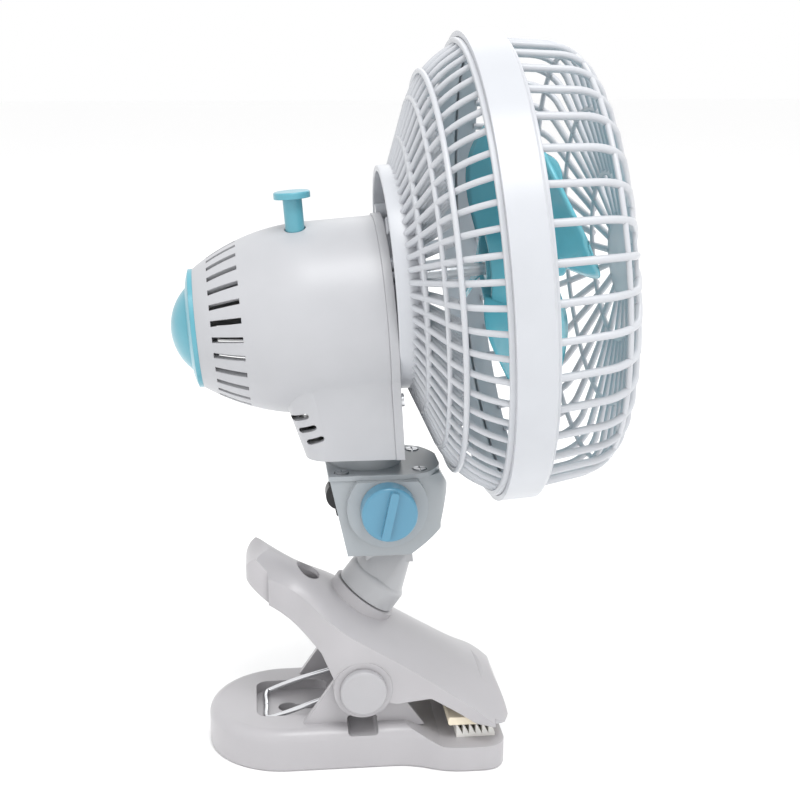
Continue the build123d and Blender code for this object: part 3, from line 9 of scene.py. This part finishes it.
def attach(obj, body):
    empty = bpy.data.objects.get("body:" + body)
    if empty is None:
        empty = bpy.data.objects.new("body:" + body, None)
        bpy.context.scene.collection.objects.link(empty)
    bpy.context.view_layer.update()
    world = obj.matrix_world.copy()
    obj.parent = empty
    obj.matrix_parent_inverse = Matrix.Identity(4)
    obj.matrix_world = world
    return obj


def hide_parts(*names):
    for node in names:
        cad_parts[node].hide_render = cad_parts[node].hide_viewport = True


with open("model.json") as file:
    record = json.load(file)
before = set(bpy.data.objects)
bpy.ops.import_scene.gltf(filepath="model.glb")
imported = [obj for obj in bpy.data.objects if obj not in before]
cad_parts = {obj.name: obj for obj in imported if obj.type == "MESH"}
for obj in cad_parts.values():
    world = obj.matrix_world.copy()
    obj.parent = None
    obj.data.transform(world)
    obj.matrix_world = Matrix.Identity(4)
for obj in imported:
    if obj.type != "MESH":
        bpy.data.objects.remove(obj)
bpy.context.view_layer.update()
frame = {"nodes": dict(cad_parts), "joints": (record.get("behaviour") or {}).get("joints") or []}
nodes = frame["nodes"]
MM = 0.001

# ---------------------------------------------------------------------------
# Studio: the camera looks at the side with the tilt knob, from a little above
# and slightly from the rear, under one large soft light high over the fan, with
# two weaker ones beside it, white air and a wide pale floor.
# ---------------------------------------------------------------------------
camera_swing = radians(-6.0)
camera_drop = radians(14.0)
camera_distance = 560 * MM
camera_height = 288 * MM
camera_aim_x = 18.5 * MM
camera_data = bpy.data.cameras.new("fan_camera")
camera_data.lens = 63.0
camera_data.sensor_width = 36.0
camera_data.clip_start = 0.02
camera_data.clip_end = 20.0
camera = bpy.data.objects.new("fan_camera", camera_data)
camera.location = (
    camera_aim_x + camera_distance * sin(camera_swing),
    -camera_distance * cos(camera_swing),
    camera_height,
)
looking = Vector((
    -sin(camera_swing) * cos(camera_drop),
    cos(camera_swing) * cos(camera_drop),
    -sin(camera_drop),
))
camera.rotation_mode = "QUATERNION"
camera.rotation_quaternion = looking.to_track_quat("-Z", "Y")
bpy.context.scene.collection.objects.link(camera)
bpy.context.scene.camera = camera


def soft_light(name, place, aim, size, power):
    """Square soft light that shines from one point towards another."""
    light = bpy.data.lights.new(name, "AREA")
    light.shape = "SQUARE"
    light.size = size
    light.energy = power
    lamp = bpy.data.objects.new(name, light)
    lamp.location = place
    direction = Vector(aim) - Vector(place)
    lamp.rotation_mode = "QUATERNION"
    lamp.rotation_quaternion = direction.to_track_quat("-Z", "Y")
    bpy.context.scene.collection.objects.link(lamp)
    return lamp


fan_middle = (0.02, 0.0, 0.16)
soft_light("key_light", (0.25, -0.75, 1.7), fan_middle, 0.9, 19)
soft_light("fill_light", (-1.3, -0.9, 0.8), fan_middle, 1.4, 1.2)
soft_light("back_light", (0.5, 1.4, 1.2), fan_middle, 1.2, 4)
world = bpy.data.worlds.new("studio_air")
world.use_nodes = True
air = world.node_tree.nodes["Background"]
air.inputs["Color"].default_value = (1.0, 1.0, 1.0, 1)
air.inputs["Strength"].default_value = 1.0
bpy.context.scene.world = world
bpy.context.scene.view_settings.view_transform = "Standard"

floor_radius = 8.0
floor_mesh = bpy.data.meshes.new("floor")
floor_corners = [(floor_radius * x, floor_radius * y, 0) for x, y in ((-1, -1), (1, -1), (1, 1), (-1, 1))]
floor_mesh.from_pydata(floor_corners, [], [(0, 1, 2, 3)])
floor = bpy.data.objects.new("floor", floor_mesh)
bpy.context.scene.collection.objects.link(floor)
floor_paint = bpy.data.materials.new("floor_paint")
floor_paint.use_nodes = True
floor_shader = floor_paint.node_tree.nodes["Principled BSDF"]
floor_shader.inputs["Base Color"].default_value = (0.98, 0.98, 0.98, 1)
floor_shader.inputs["Roughness"].default_value = 0.9
floor_shader.inputs["Specular IOR Level"].default_value = 0.1
floor_mesh.materials.append(floor_paint)

# ---------------------------------------------------------------------------
# Lower jaw: the moulded polypropylene tray that everything stands on, pinkish
# grey-white, with a fine grain and edges softened by the mould.
# ---------------------------------------------------------------------------
def moulding(name, colour, roughness, grain=0.06, grain_size=0.6, soft_edge=0.35, mottle=0.03, coat=0.0):
    """Moulded plastic: even colour with a faint flow mottle, fine grain and soft edges."""
    plastic = bpy.data.materials.new(name)
    plastic.use_nodes = True
    tree = plastic.node_tree
    shader = tree.nodes["Principled BSDF"]
    shader.inputs["Roughness"].default_value = roughness
    shader.inputs["IOR"].default_value = 1.49
    shader.inputs["Coat Weight"].default_value = coat
    shader.inputs["Coat Roughness"].default_value = 0.2
    place = tree.nodes.new("ShaderNodeTexCoord")
    flow = tree.nodes.new("ShaderNodeTexNoise")
    flow.inputs["Scale"].default_value = 38.0
    flow.inputs["Detail"].default_value = 3.0
    tree.links.new(place.outputs["Object"], flow.inputs["Vector"])
    shades = tree.nodes.new("ShaderNodeValToRGB")
    shades.color_ramp.elements[0].position = 0.3
    shades.color_ramp.elements[0].color = (*[channel * (1 - mottle) for channel in colour], 1)
    shades.color_ramp.elements[1].position = 0.7
    shades.color_ramp.elements[1].color = (*[min(1, channel * (1 + mottle)) for channel in colour], 1)
    tree.links.new(flow.outputs["Fac"], shades.inputs["Fac"])
    tree.links.new(shades.outputs["Color"], shader.inputs["Base Color"])
    skin = tree.nodes.new("ShaderNodeTexNoise")
    skin.inputs["Scale"].default_value = 1 / (grain_size * MM)
    skin.inputs["Detail"].default_value = 2.0
    tree.links.new(place.outputs["Object"], skin.inputs["Vector"])
    edge = tree.nodes.new("ShaderNodeBevel")
    edge.samples = 4
    edge.inputs["Radius"].default_value = soft_edge * MM
    relief = tree.nodes.new("ShaderNodeBump")
    relief.inputs["Strength"].default_value = grain
    relief.inputs["Distance"].default_value = 0.1 * MM
    tree.links.new(skin.outputs["Fac"], relief.inputs["Height"])
    tree.links.new(edge.outputs["Normal"], relief.inputs["Normal"])
    tree.links.new(relief.outputs["Normal"], shader.inputs["Normal"])
    return plastic


def finish_node(node, material):
    """Gives a CAD node its finish."""
    mesh = nodes[node].data
    mesh.materials.clear()
    mesh.materials.append(material)


clip_plastic = moulding("clip_plastic", (0.42, 0.41, 0.425), 0.34)
finish_node("lower_jaw", clip_plastic)

# Grips: soft rubber, a white comb of teeth below and a plain cream pad above,
# pushed into the noses of the two jaws.
finish_node("lower_grip", moulding("tooth_rubber", (0.82, 0.81, 0.78), 0.55, grain=0.12))
finish_node("upper_grip", moulding("pad_rubber", (0.78, 0.70, 0.55), 0.60, grain=0.12))

# Upper jaw: the lever with its thumb end, lobes and the pad under the stem,
# moulded in one in the same plastic as the tray.
finish_node("upper_jaw", clip_plastic)

# Pivot caps: round snap-on caps over the ends of the pin.
finish_node("pivot_caps", moulding("cap_plastic", (0.40, 0.395, 0.41), 0.30))

# ---------------------------------------------------------------------------
# Metal parts: bright spring wire; zinc-plated pin, screws, brackets, shaft, worm
# and link; bronze bearings, enamelled copper windings and stamped steel cores.
# ---------------------------------------------------------------------------
def metal(name, colour, roughness, scratch=0.08, scratch_size=2.0, polish=1.0):
    """Bare metal with fine drawing marks."""
    bare = bpy.data.materials.new(name)
    bare.use_nodes = True
    tree = bare.node_tree
    shader = tree.nodes["Principled BSDF"]
    shader.inputs["Base Color"].default_value = (*colour, 1)
    shader.inputs["Metallic"].default_value = polish
    place = tree.nodes.new("ShaderNodeTexCoord")
    marks = tree.nodes.new("ShaderNodeTexNoise")
    marks.inputs["Scale"].default_value = 1 / (scratch_size * MM)
    marks.inputs["Detail"].default_value = 4.0
    tree.links.new(place.outputs["Object"], marks.inputs["Vector"])
    spread = tree.nodes.new("ShaderNodeMapRange")
    spread.inputs["To Min"].default_value = roughness * 0.8
    spread.inputs["To Max"].default_value = roughness * 1.3
    tree.links.new(marks.outputs["Fac"], spread.inputs["Value"])
    tree.links.new(spread.outputs["Result"], shader.inputs["Roughness"])
    relief = tree.nodes.new("ShaderNodeBump")
    relief.inputs["Strength"].default_value = scratch
    relief.inputs["Distance"].default_value = 0.05 * MM
    tree.links.new(marks.outputs["Fac"], relief.inputs["Height"])
    tree.links.new(relief.outputs["Normal"], shader.inputs["Normal"])
    return bare


finish_node("torsion_spring", metal("spring_wire", (0.78, 0.79, 0.81), 0.16))
zinc = metal("zinc_plate", (0.66, 0.67, 0.69), 0.32)
for node in (
    "pivot_pin", "swivel_washer", "swivel_screw", "neck_screws", "neck_post", "post_arm",
    "post_screw", "tilt_nut", "tilt_bolt", "housing_screws", "rear_bracket", "front_bracket",
    "motor_screws", "grille_screws", "motor_shaft", "worm_gear", "crank_link",
):
    finish_node(node, zinc)
finish_node("motor_bearings", metal("sintered_bronze", (0.58, 0.44, 0.24), 0.45))
finish_node("stator_windings", metal("enamelled_copper", (0.66, 0.32, 0.14), 0.30, polish=0.8))
laminate = metal("stamped_laminations", (0.30, 0.31, 0.33), 0.45)
finish_node("stator_core", laminate)
finish_node("rotor_core", laminate)

# ---------------------------------------------------------------------------
# Stem: white moulded post on a round swivel base, a little glossier than the
# clip, held on it from below by a screw and a washer.
# ---------------------------------------------------------------------------
finish_node("stem", moulding("stem_plastic", (0.42, 0.425, 0.44), 0.28))

# Neck: box, cover and collar in cool grey-white, joined by four screws.
neck_plastic = moulding("neck_plastic", (0.33, 0.355, 0.375), 0.33)
finish_node("neck_body", neck_plastic)
finish_node("neck_cover", neck_plastic)

# Tilt knob: sky-blue moulded disc with a raised bar for the fingers.
finish_node("tilt_knob", moulding("knob_blue", (0.09, 0.26, 0.38), 0.30, coat=0.2))

# Switch: black case and rocker.
switch_black = moulding("switch_black", (0.018, 0.018, 0.020), 0.38)
finish_node("switch_case", switch_black)
finish_node("switch_rocker", switch_black)

# Gear parts: natural nylon, hidden in the housing.
nylon = moulding("nylon", (0.80, 0.78, 0.70), 0.45)
for node in ("worm_wheel", "crank_disc", "gearbox_case"):
    finish_node(node, nylon)

# ---------------------------------------------------------------------------
# Motor housing: cool white shell, satin from the mould, and its front plate,
# which is screwed on. The shell's upper front edge runs on unbroken, as a wall
# of even thickness.
# ---------------------------------------------------------------------------
housing_plastic = moulding("housing_plastic", (0.44, 0.445, 0.465), 0.36)
swing = next(joint for joint in frame["joints"] if joint["name"] == "oscillation")
spin = next(joint for joint in frame["joints"] if joint["name"] == "blade_spin")
fan_forward = Vector(spin["axis"])
fan_across = Vector((0, 1, 0))
fan_down = fan_across.cross(fan_forward)
fan_turn = Matrix((fan_down, fan_across, fan_forward)).transposed().to_4x4()
fan_place = Matrix.Translation(spin["pos_m"]) @ fan_turn
housing_drop = 13.0
housing_outside = 38.5
housing_inside = 36.3
housing_middle = Vector(spin["pos_m"]) + fan_down * housing_drop * MM
skin_slack = 0.5 * MM
weld_reach = 0.001 * MM
crease_angle = radians(28)
notch_radius = 6.3 * MM
notch_level = 0.2
notch_steps = 6


def notch_offset(place):
    """Level offset of a place from the middle of the notch."""
    return Vector((place.x - swing["pos_m"][0], place.y - swing["pos_m"][1]))


def in_notch(place):
    """Whether a place lies on the wall of the notch in the shell's front edge."""
    return place.z > notch_level and notch_offset(place).length < notch_radius


shell_work = bmesh.new()
shell_work.from_mesh(nodes["motor_housing"].data)
bmesh.ops.remove_doubles(shell_work, verts=shell_work.verts, dist=weld_reach)
notch_walls = [face for face in shell_work.faces if in_notch(face.calc_center_median())]
bmesh.ops.delete(shell_work, geom=notch_walls, context="FACES")
open_edges = [edge for edge in shell_work.edges if edge.is_boundary]
open_verts = {vert for edge in open_edges for vert in edge.verts if in_notch(vert.co)}
front_chains = []
for skin in (housing_outside * MM, housing_inside * MM):
    arc = []
    for vert in open_verts:
        from_middle = vert.co - housing_middle
        from_axis = (from_middle - fan_forward * from_middle.dot(fan_forward)).length
        if abs(from_axis - skin) < skin_slack:
            arc.append(vert)
    arc.sort(key=lambda vert: atan2(notch_offset(vert.co).y, -notch_offset(vert.co).x))
    front = housing_middle + fan_forward * (arc[0].co - housing_middle).dot(fan_forward)
    ends = [atan2(vert.co.y, -(vert.co - front).dot(fan_down)) for vert in (arc[-1], arc[0])]
    chain = [arc[-1]]
    for step in range(1, notch_steps):
        turn = ends[0] + (ends[1] - ends[0]) * step / notch_steps
        level_place = front - fan_down * skin * cos(turn)
        chain.append(shell_work.verts.new(level_place + fan_across * skin * sin(turn)))
    shell_work.faces.new(arc + chain[1:])
    front_chains.append(chain + [arc[0]])
outer_chain, inner_chain = front_chains
for i in range(notch_steps):
    shell_work.faces.new((outer_chain[i], outer_chain[i + 1], inner_chain[i + 1], inner_chain[i]))
bmesh.ops.triangulate(shell_work, faces=[face for face in shell_work.faces if len(face.verts) > 3])
bmesh.ops.recalc_face_normals(shell_work, faces=shell_work.faces)
for face in shell_work.faces:
    face.smooth = True
for edge in shell_work.edges:
    edge.smooth = edge.is_manifold and edge.calc_face_angle() < crease_angle
shell_mesh = bpy.data.meshes.new("housing_shell")
shell_work.to_mesh(shell_mesh)
shell_work.free()
if "custom_normal" in shell_mesh.attributes:
    shell_mesh.attributes.remove(shell_mesh.attributes["custom_normal"])
shell_mesh.materials.clear()
shell_mesh.materials.append(housing_plastic)
shell_piece = bpy.data.objects.new("housing_shell", shell_mesh)
bpy.context.scene.collection.objects.link(shell_piece)
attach(shell_piece, "head")
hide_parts("motor_housing")
finish_node("housing_front", housing_plastic)

# Rear cap and oscillation knob: pale blue plastic with some gloss.
sky_plastic = moulding("sky_plastic", (0.10, 0.34, 0.42), 0.28, coat=0.25)
finish_node("rear_cap", sky_plastic)
finish_node("oscillation_knob", sky_plastic)

# ---------------------------------------------------------------------------
# Blades: one thin moulding of three broad, twisted petals on an open hub, in
# clear sky blue, pushed on the shaft and held by a screw-on nut.
# ---------------------------------------------------------------------------
ring_steps = 180
blade_plastic = moulding("blade_plastic", (0.15, 0.52, 0.62), 0.24, coat=0.3, soft_edge=0.25)


def turned(mesh, outline, steps=ring_steps):
    """Adds to a bmesh the ring swept by a closed outline of (radius, place) points."""
    loops = []
    for step in range(steps):
        turn = 2 * pi * step / steps
        loops.append([mesh.verts.new((r * MM * cos(turn), r * MM * sin(turn), z * MM)) for r, z in outline])
    faces = []
    for step in range(steps):
        here, there = loops[step], loops[(step + 1) % steps]
        for i in range(len(outline)):
            j = (i + 1) % len(outline)
            faces.append(mesh.faces.new((here[i], here[j], there[j], there[i])))
    for face in faces:
        face.smooth = True
    bmesh.ops.recalc_face_normals(mesh, faces=faces)


def soft_box(inner, outer, rear, front, soft=0.5, steps=3):
    """Outline of a ring of square section with rounded corners."""
    outline = []
    for corner_r, corner_z, start in (
        (outer - soft, front - soft, 0), (inner + soft, front - soft, pi / 2),
        (inner + soft, rear + soft, pi), (outer - soft, rear + soft, 3 * pi / 2),
    ):
        for step in range(steps + 1):
            turn = start + pi / 2 * step / steps
            outline.append((corner_r + soft * cos(turn), corner_z + soft * sin(turn)))
    return outline


blade_root = 15.0
blade_tip = 74.0
blade_level = 19.5
blade_half_thickness = 0.8
blade_camber = 2.0
edge_share = 0.35
edge_taper = 6
root_spread = 0.80
tip_spread = 0.66
swell_spread = 0.10
tip_lean = 0.05
leading_lean = 0.20
root_rise = 17.0
tip_rise = 11.0
swell_rise = 5.5
leading_rise = 6.5
trailing_corner = 0.16
leading_corner = 0.26


def petal_place(part, side, first):
    """Radius, angle and level of a spot on a blade, part of the way out and to one side."""
    swell = sin(pi * part)
    leading = part * max(0, side) ** 2
    half_spread = root_spread * (1 - part) + tip_spread * part + swell_spread * swell
    angle = first + half_spread * side + tip_lean * part - leading_lean * leading
    half_rise = root_rise * (1 - part) + tip_rise * part + swell_rise * swell
    climb = half_rise * side + leading_rise * leading
    camber = blade_camber * part * (1 - side * side)
    corner = trailing_corner if side < 0 else leading_corner
    rounding = 1 - corner * part * abs(side) ** 3
    radius = (blade_root + (blade_tip - blade_root) * part) * rounding
    return radius, angle, blade_level + climb + camber


def petal(mesh, first, along=22, across=20):
    """Adds one blade to a bmesh: a curved, twisted plate with rounded outer corners and thin edges."""
    sheets = []
    for face_side in (1, -1):
        sheet = []
        for i in range(along + 1):
            line = []
            for j in range(across + 1):
                radius, angle, level = petal_place(i / along, 2 * j / across - 1, first)
                to_edge = min(j, across - j) / across
                level += face_side * blade_half_thickness * min(1, edge_share + edge_taper * to_edge)
                spot = (radius * MM * cos(angle), radius * MM * sin(angle), level * MM)
                line.append(mesh.verts.new(spot))
            sheet.append(line)
        sheets.append(sheet)
    front, back = sheets
    corners = []
    for i in range(along):
        for j in range(across):
            for sheet in sheets:
                corners.append((sheet[i][j], sheet[i + 1][j], sheet[i + 1][j + 1], sheet[i][j + 1]))
        for j in (0, across):
            corners.append((front[i][j], back[i][j], back[i + 1][j], front[i + 1][j]))
    for j in range(across):
        for i in (0, along):
            corners.append((front[i][j], front[i][j + 1], back[i][j + 1], back[i][j]))
    faces = [mesh.faces.new(corner) for corner in corners]
    for face in faces:
        face.smooth = True
    bmesh.ops.recalc_face_normals(mesh, faces=faces)


blade_work = bmesh.new()
blade_count = 3
blade_first = radians(109)
for blade in range(blade_count):
    petal(blade_work, blade_first + 2 * pi * blade / blade_count)
hub_radius = 16.5
hub_wall = 2.0
hub_rear = 5.0
hub_front = 29.0
hub_bore = 2.5
hub_steps = 72
skirt_drop = 2.0
skirt = soft_box(hub_radius - hub_wall, hub_radius, hub_rear, hub_front - skirt_drop, 0.6)
turned(blade_work, skirt, hub_steps)
cover_inset = 0.2
cover_rear = hub_front - hub_wall - skirt_drop
cover = soft_box(hub_bore, hub_radius - cover_inset, cover_rear, hub_front, 1.6, 6)
turned(blade_work, cover, hub_steps)
boss_radius = 5.5
boss_drop = 1.0
boss_steps = 48
boss = soft_box(hub_bore, boss_radius, hub_rear, hub_front - boss_drop, 0.4)
turned(blade_work, boss, boss_steps)
blade_work.transform(fan_place)
blade_mesh = bpy.data.meshes.new("blade_moulding")
blade_work.to_mesh(blade_mesh)
blade_work.free()
blade_mesh.materials.append(blade_plastic)
blade_piece = bpy.data.objects.new("blade_moulding", blade_mesh)
bpy.context.scene.collection.objects.link(blade_piece)
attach(blade_piece, "rotor")
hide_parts("fan_blade")
finish_node("blade_nut", blade_plastic)

# ---------------------------------------------------------------------------
# Rear grille: sixty round bars bent from the collar over the shoulder to the
# rim, with fins near the collar, two hoops, a ring and the flat plate with four
# posts that screws to the housing, moulded in one in bright cool white.
# ---------------------------------------------------------------------------
grille_plastic = moulding("grille_plastic", (0.52, 0.535, 0.565), 0.30)


def arc_along(start, end, heading, steps=9):
    """Points of the arc from start to end that leaves start along the heading, as (radius, place)."""
    chord = Vector(end) - Vector(start)
    side = Vector((-heading[1], heading[0]))
    across = chord.dot(side)
    if abs(across) < 1e-9:
        return [tuple(start), tuple(end)]
    radius = chord.length_squared / (2 * across)
    middle = Vector(start) + side * radius
    first = atan2(start[1] - middle.y, start[0] - middle.x)
    last = atan2(end[1] - middle.y, end[0] - middle.x)
    sweep = (last - first + pi) % (2 * pi) - pi
    return [
        (middle.x + abs(radius) * cos(first + sweep * step / steps),
         middle.y + abs(radius) * sin(first + sweep * step / steps))
        for step in range(steps + 1)
    ]


def bar_tree():
    """Geometry nodes that turn one bent line into a cage of round bars about its upright axis."""
    tree = bpy.data.node_groups.new("cage_bars", "GeometryNodeTree")
    sockets = tree.interface
    sockets.new_socket("Line", in_out="INPUT", socket_type="NodeSocketGeometry")
    sockets.new_socket("Bars", in_out="INPUT", socket_type="NodeSocketInt")
    sockets.new_socket("Bar radius", in_out="INPUT", socket_type="NodeSocketFloat")
    sockets.new_socket("First turn", in_out="INPUT", socket_type="NodeSocketFloat")
    sockets.new_socket("Plastic", in_out="INPUT", socket_type="NodeSocketMaterial")
    sockets.new_socket("Cage", in_out="OUTPUT", socket_type="NodeSocketGeometry")
    made = tree.nodes
    join = tree.links.new
    given = made.new("NodeGroupInput")
    spine = made.new("GeometryNodeMeshToCurve")
    join(given.outputs["Line"], spine.inputs["Mesh"])
    section = made.new("GeometryNodeCurvePrimitiveCircle")
    section.inputs["Resolution"].default_value = 8
    join(given.outputs["Bar radius"], section.inputs["Radius"])
    bar = made.new("GeometryNodeCurveToMesh")
    bar.inputs["Fill Caps"].default_value = True
    join(spine.outputs["Curve"], bar.inputs["Curve"])
    join(section.outputs["Curve"], bar.inputs["Profile Curve"])
    smooth = made.new("GeometryNodeSetShadeSmooth")
    join(bar.outputs["Mesh"], smooth.inputs["Geometry"])
    seats = made.new("GeometryNodePoints")
    join(given.outputs["Bars"], seats.inputs["Count"])
    number = made.new("GeometryNodeInputIndex")
    pitch = made.new("ShaderNodeMath")
    pitch.operation = "DIVIDE"
    pitch.inputs[0].default_value = 2 * pi
    join(given.outputs["Bars"], pitch.inputs[1])
    turn = made.new("ShaderNodeMath")
    turn.operation = "MULTIPLY_ADD"
    join(number.outputs["Index"], turn.inputs[0])
    join(pitch.outputs["Value"], turn.inputs[1])
    join(given.outputs["First turn"], turn.inputs[2])
    angles = made.new("ShaderNodeCombineXYZ")
    join(turn.outputs["Value"], angles.inputs["Z"])
    copies = made.new("GeometryNodeInstanceOnPoints")
    join(seats.outputs["Points"], copies.inputs["Points"])
    join(smooth.outputs["Geometry"], copies.inputs["Instance"])
    join(angles.outputs["Vector"], copies.inputs["Rotation"])
    solid = made.new("GeometryNodeRealizeInstances")
    join(copies.outputs["Instances"], solid.inputs["Geometry"])
    painted = made.new("GeometryNodeSetMaterial")
    join(solid.outputs["Geometry"], painted.inputs["Geometry"])
    join(given.outputs["Plastic"], painted.inputs["Material"])
    result = made.new("NodeGroupOutput")
    join(painted.outputs["Geometry"], result.inputs["Cage"])
    return tree


cage_bars = bar_tree()


def cage(name, line, bars, bar_radius, first_turn=0.0):
    """Mesh of equal round bars round the fan's axis, bent along one line of (radius, place) points."""
    path = bpy.data.meshes.new(name + "_line")
    path.from_pydata([(r * MM, 0, z * MM) for r, z in line], [(i, i + 1) for i in range(len(line) - 1)], [])
    holder = bpy.data.objects.new(name + "_line", path)
    bpy.context.scene.collection.objects.link(holder)
    modifier = holder.modifiers.new("bars", "NODES")
    modifier.node_group = cage_bars
    settings = {
        "Bars": bars,
        "Bar radius": bar_radius * MM,
        "First turn": first_turn,
        "Plastic": grille_plastic,
    }
    for socket in cage_bars.interface.items_tree:
        if socket.in_out == "INPUT" and socket.name in settings:
            modifier[socket.identifier] = settings[socket.name]
    bpy.context.view_layer.update()
    built = bpy.data.meshes.new_from_object(holder.evaluated_get(bpy.context.evaluated_depsgraph_get()))
    bpy.data.objects.remove(holder)
    return built


def round_hoop(at, radius, thick, deep, corners=10):
    """Outline of a hoop of oval section."""
    return [
        (radius + thick / 2 * cos(2 * pi * i / corners), at + deep / 2 * sin(2 * pi * i / corners))
        for i in range(corners)
    ]


def fan_piece(name, body, material, meshes, rings, node):
    """Joins bars and rings into one piece in the fan's place, and puts it in for its CAD node."""
    work = bmesh.new()
    for part in meshes:
        work.from_mesh(part)
    for outline in rings:
        turned(work, outline)
    work.transform(fan_place)
    shape = bpy.data.meshes.new(name)
    work.to_mesh(shape)
    work.free()
    shape.materials.clear()
    shape.materials.append(material)
    shape.polygons.foreach_set("material_index", [0] * len(shape.polygons))
    piece = bpy.data.objects.new(name, shape)
    bpy.context.scene.collection.objects.link(piece)
    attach(piece, body)
    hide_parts(node)
    return piece


rim_inner = 91.6
ring_wall = 2.2
bar_end = 90.4
collar_radius = 45.0
collar_wall = 2.2
collar_rear = -35.5
plate_radius = 56.0
plate_rear = -26.5
plate_front = -24.7
plate_hole = 8.0
post_reach = 34.0
post_radius = 3.4
post_count = 4
seat_depth = 0.5
collar_overlap = 0.4
rear_rim_rear = -2.0
rear_rim_front = 7.0
hoop_wall = 2.2
rear_hoops = ((-20.1, 70.0, 2.0), (-15.6, 80.0, 2.2))
rear_bar = 1.25
rear_bar_count = 60
bar_foot = -31.0
shoulder = (80.5, -17.0)
shoulder_round = 12.0
slope = Vector((shoulder[0] - collar_radius, shoulder[1] - bar_foot)).normalized()
rise = Vector((bar_end - shoulder[0], -shoulder[1])).normalized()
bend_start = Vector(shoulder) - slope * shoulder_round
bend_end = Vector(shoulder) + rise * shoulder_round
rear_line = [(collar_radius - collar_wall / 2, bar_foot + rear_bar)]
rear_line += [(r - rear_bar * 0.3, z + rear_bar) for r, z in arc_along(bend_start, bend_end, slope)]
rear_line.append((bar_end - rear_bar, 0.0))
fin_step = 1.7
fin_points = 5
fin_lines = [
    [(r, z + step * fin_step) for r, z in rear_line[:fin_points - step]]
    for step in (1, 2, 3)
]
post_line = [(post_reach, collar_rear), (post_reach, plate_rear + seat_depth)]
fan_piece(
    "rear_cage", "head", grille_plastic,
    [
        cage("rear_bars", rear_line, rear_bar_count, rear_bar),
        *[cage("rear_fins", fin, rear_bar_count, rear_bar) for fin in fin_lines],
        cage("rear_posts", post_line, post_count, post_radius, pi / post_count),
    ],
    [
        soft_box(rim_inner - ring_wall, rim_inner, rear_rim_rear, rear_rim_front),
        soft_box(collar_radius - collar_wall, collar_radius, collar_rear, plate_rear + collar_overlap),
        soft_box(plate_hole, plate_radius, plate_rear, plate_front),
        *[round_hoop(at, radius, hoop_wall, deep) for at, radius, deep in rear_hoops],
    ],
    "rear_grille",
)

# Rim band: the wide smooth hoop that clips the two cages together, with its
# latch at the top.
finish_node("rim_band", grille_plastic)

# ---------------------------------------------------------------------------
# Front grille: forty ribs that leave the rim straight, turn over the shoulder
# and close towards the round middle plate; every second one ends at the inner
# hoop. Moulded in one, with the badge pressed into the plate.
# ---------------------------------------------------------------------------
front_bar = 1.5
front_bar_count = 20
front_rim_rear = 8.0
front_rim_front = 16.5
front_side = (88.0, 34.0)
front_edge = (73.5, 50.0)
middle_plate = 18.0
middle_plate_depth = 2.6
dome_front = 63.0
inner_hoop = 34.0
front_hoops = ((43.4, 82.0, 2.2), (51.8, 60.0, 2.0), (57.8, inner_hoop, 2.0))
side_foot = 15.5
side_start = Vector((bar_end, side_foot))
side_heading = (Vector(front_side) - side_start).normalized()
edge_arc = arc_along(front_side, front_edge, side_heading)
edge_heading = (Vector(edge_arc[-1]) - Vector(edge_arc[-2])).normalized()
dome_arc = arc_along(front_edge, (middle_plate - 1, dome_front), edge_heading, 16)
dome_line = [tuple(side_start)] + edge_arc + dome_arc[1:]


def drawn_in(line, amount):
    """The line moved inwards, to the middle of bars that touch it from inside."""
    moved = []
    for i, point in enumerate(line):
        ahead = Vector(line[min(i + 1, len(line) - 1)]) - Vector(line[max(i - 1, 0)])
        ahead.normalize()
        moved.append((point[0] - ahead.y * amount, point[1] + ahead.x * amount))
    return moved


long_line = drawn_in(dome_line, front_bar)
short_line = [point for point in long_line if point[0] > inner_hoop]
fan_piece(
    "front_cage", "head", grille_plastic,
    [
        cage("long_bars", long_line, front_bar_count, front_bar),
        cage("short_bars", short_line, front_bar_count, front_bar, pi / front_bar_count),
    ],
    [
        soft_box(rim_inner - ring_wall, rim_inner, front_rim_rear, front_rim_front),
        *[round_hoop(at, radius, hoop_wall, deep) for at, radius, deep in front_hoops],
        soft_box(0.0, middle_plate, dome_front - middle_plate_depth, dome_front),
    ],
    "front_grille",
)
finish_node("centre_badge", grille_plastic)
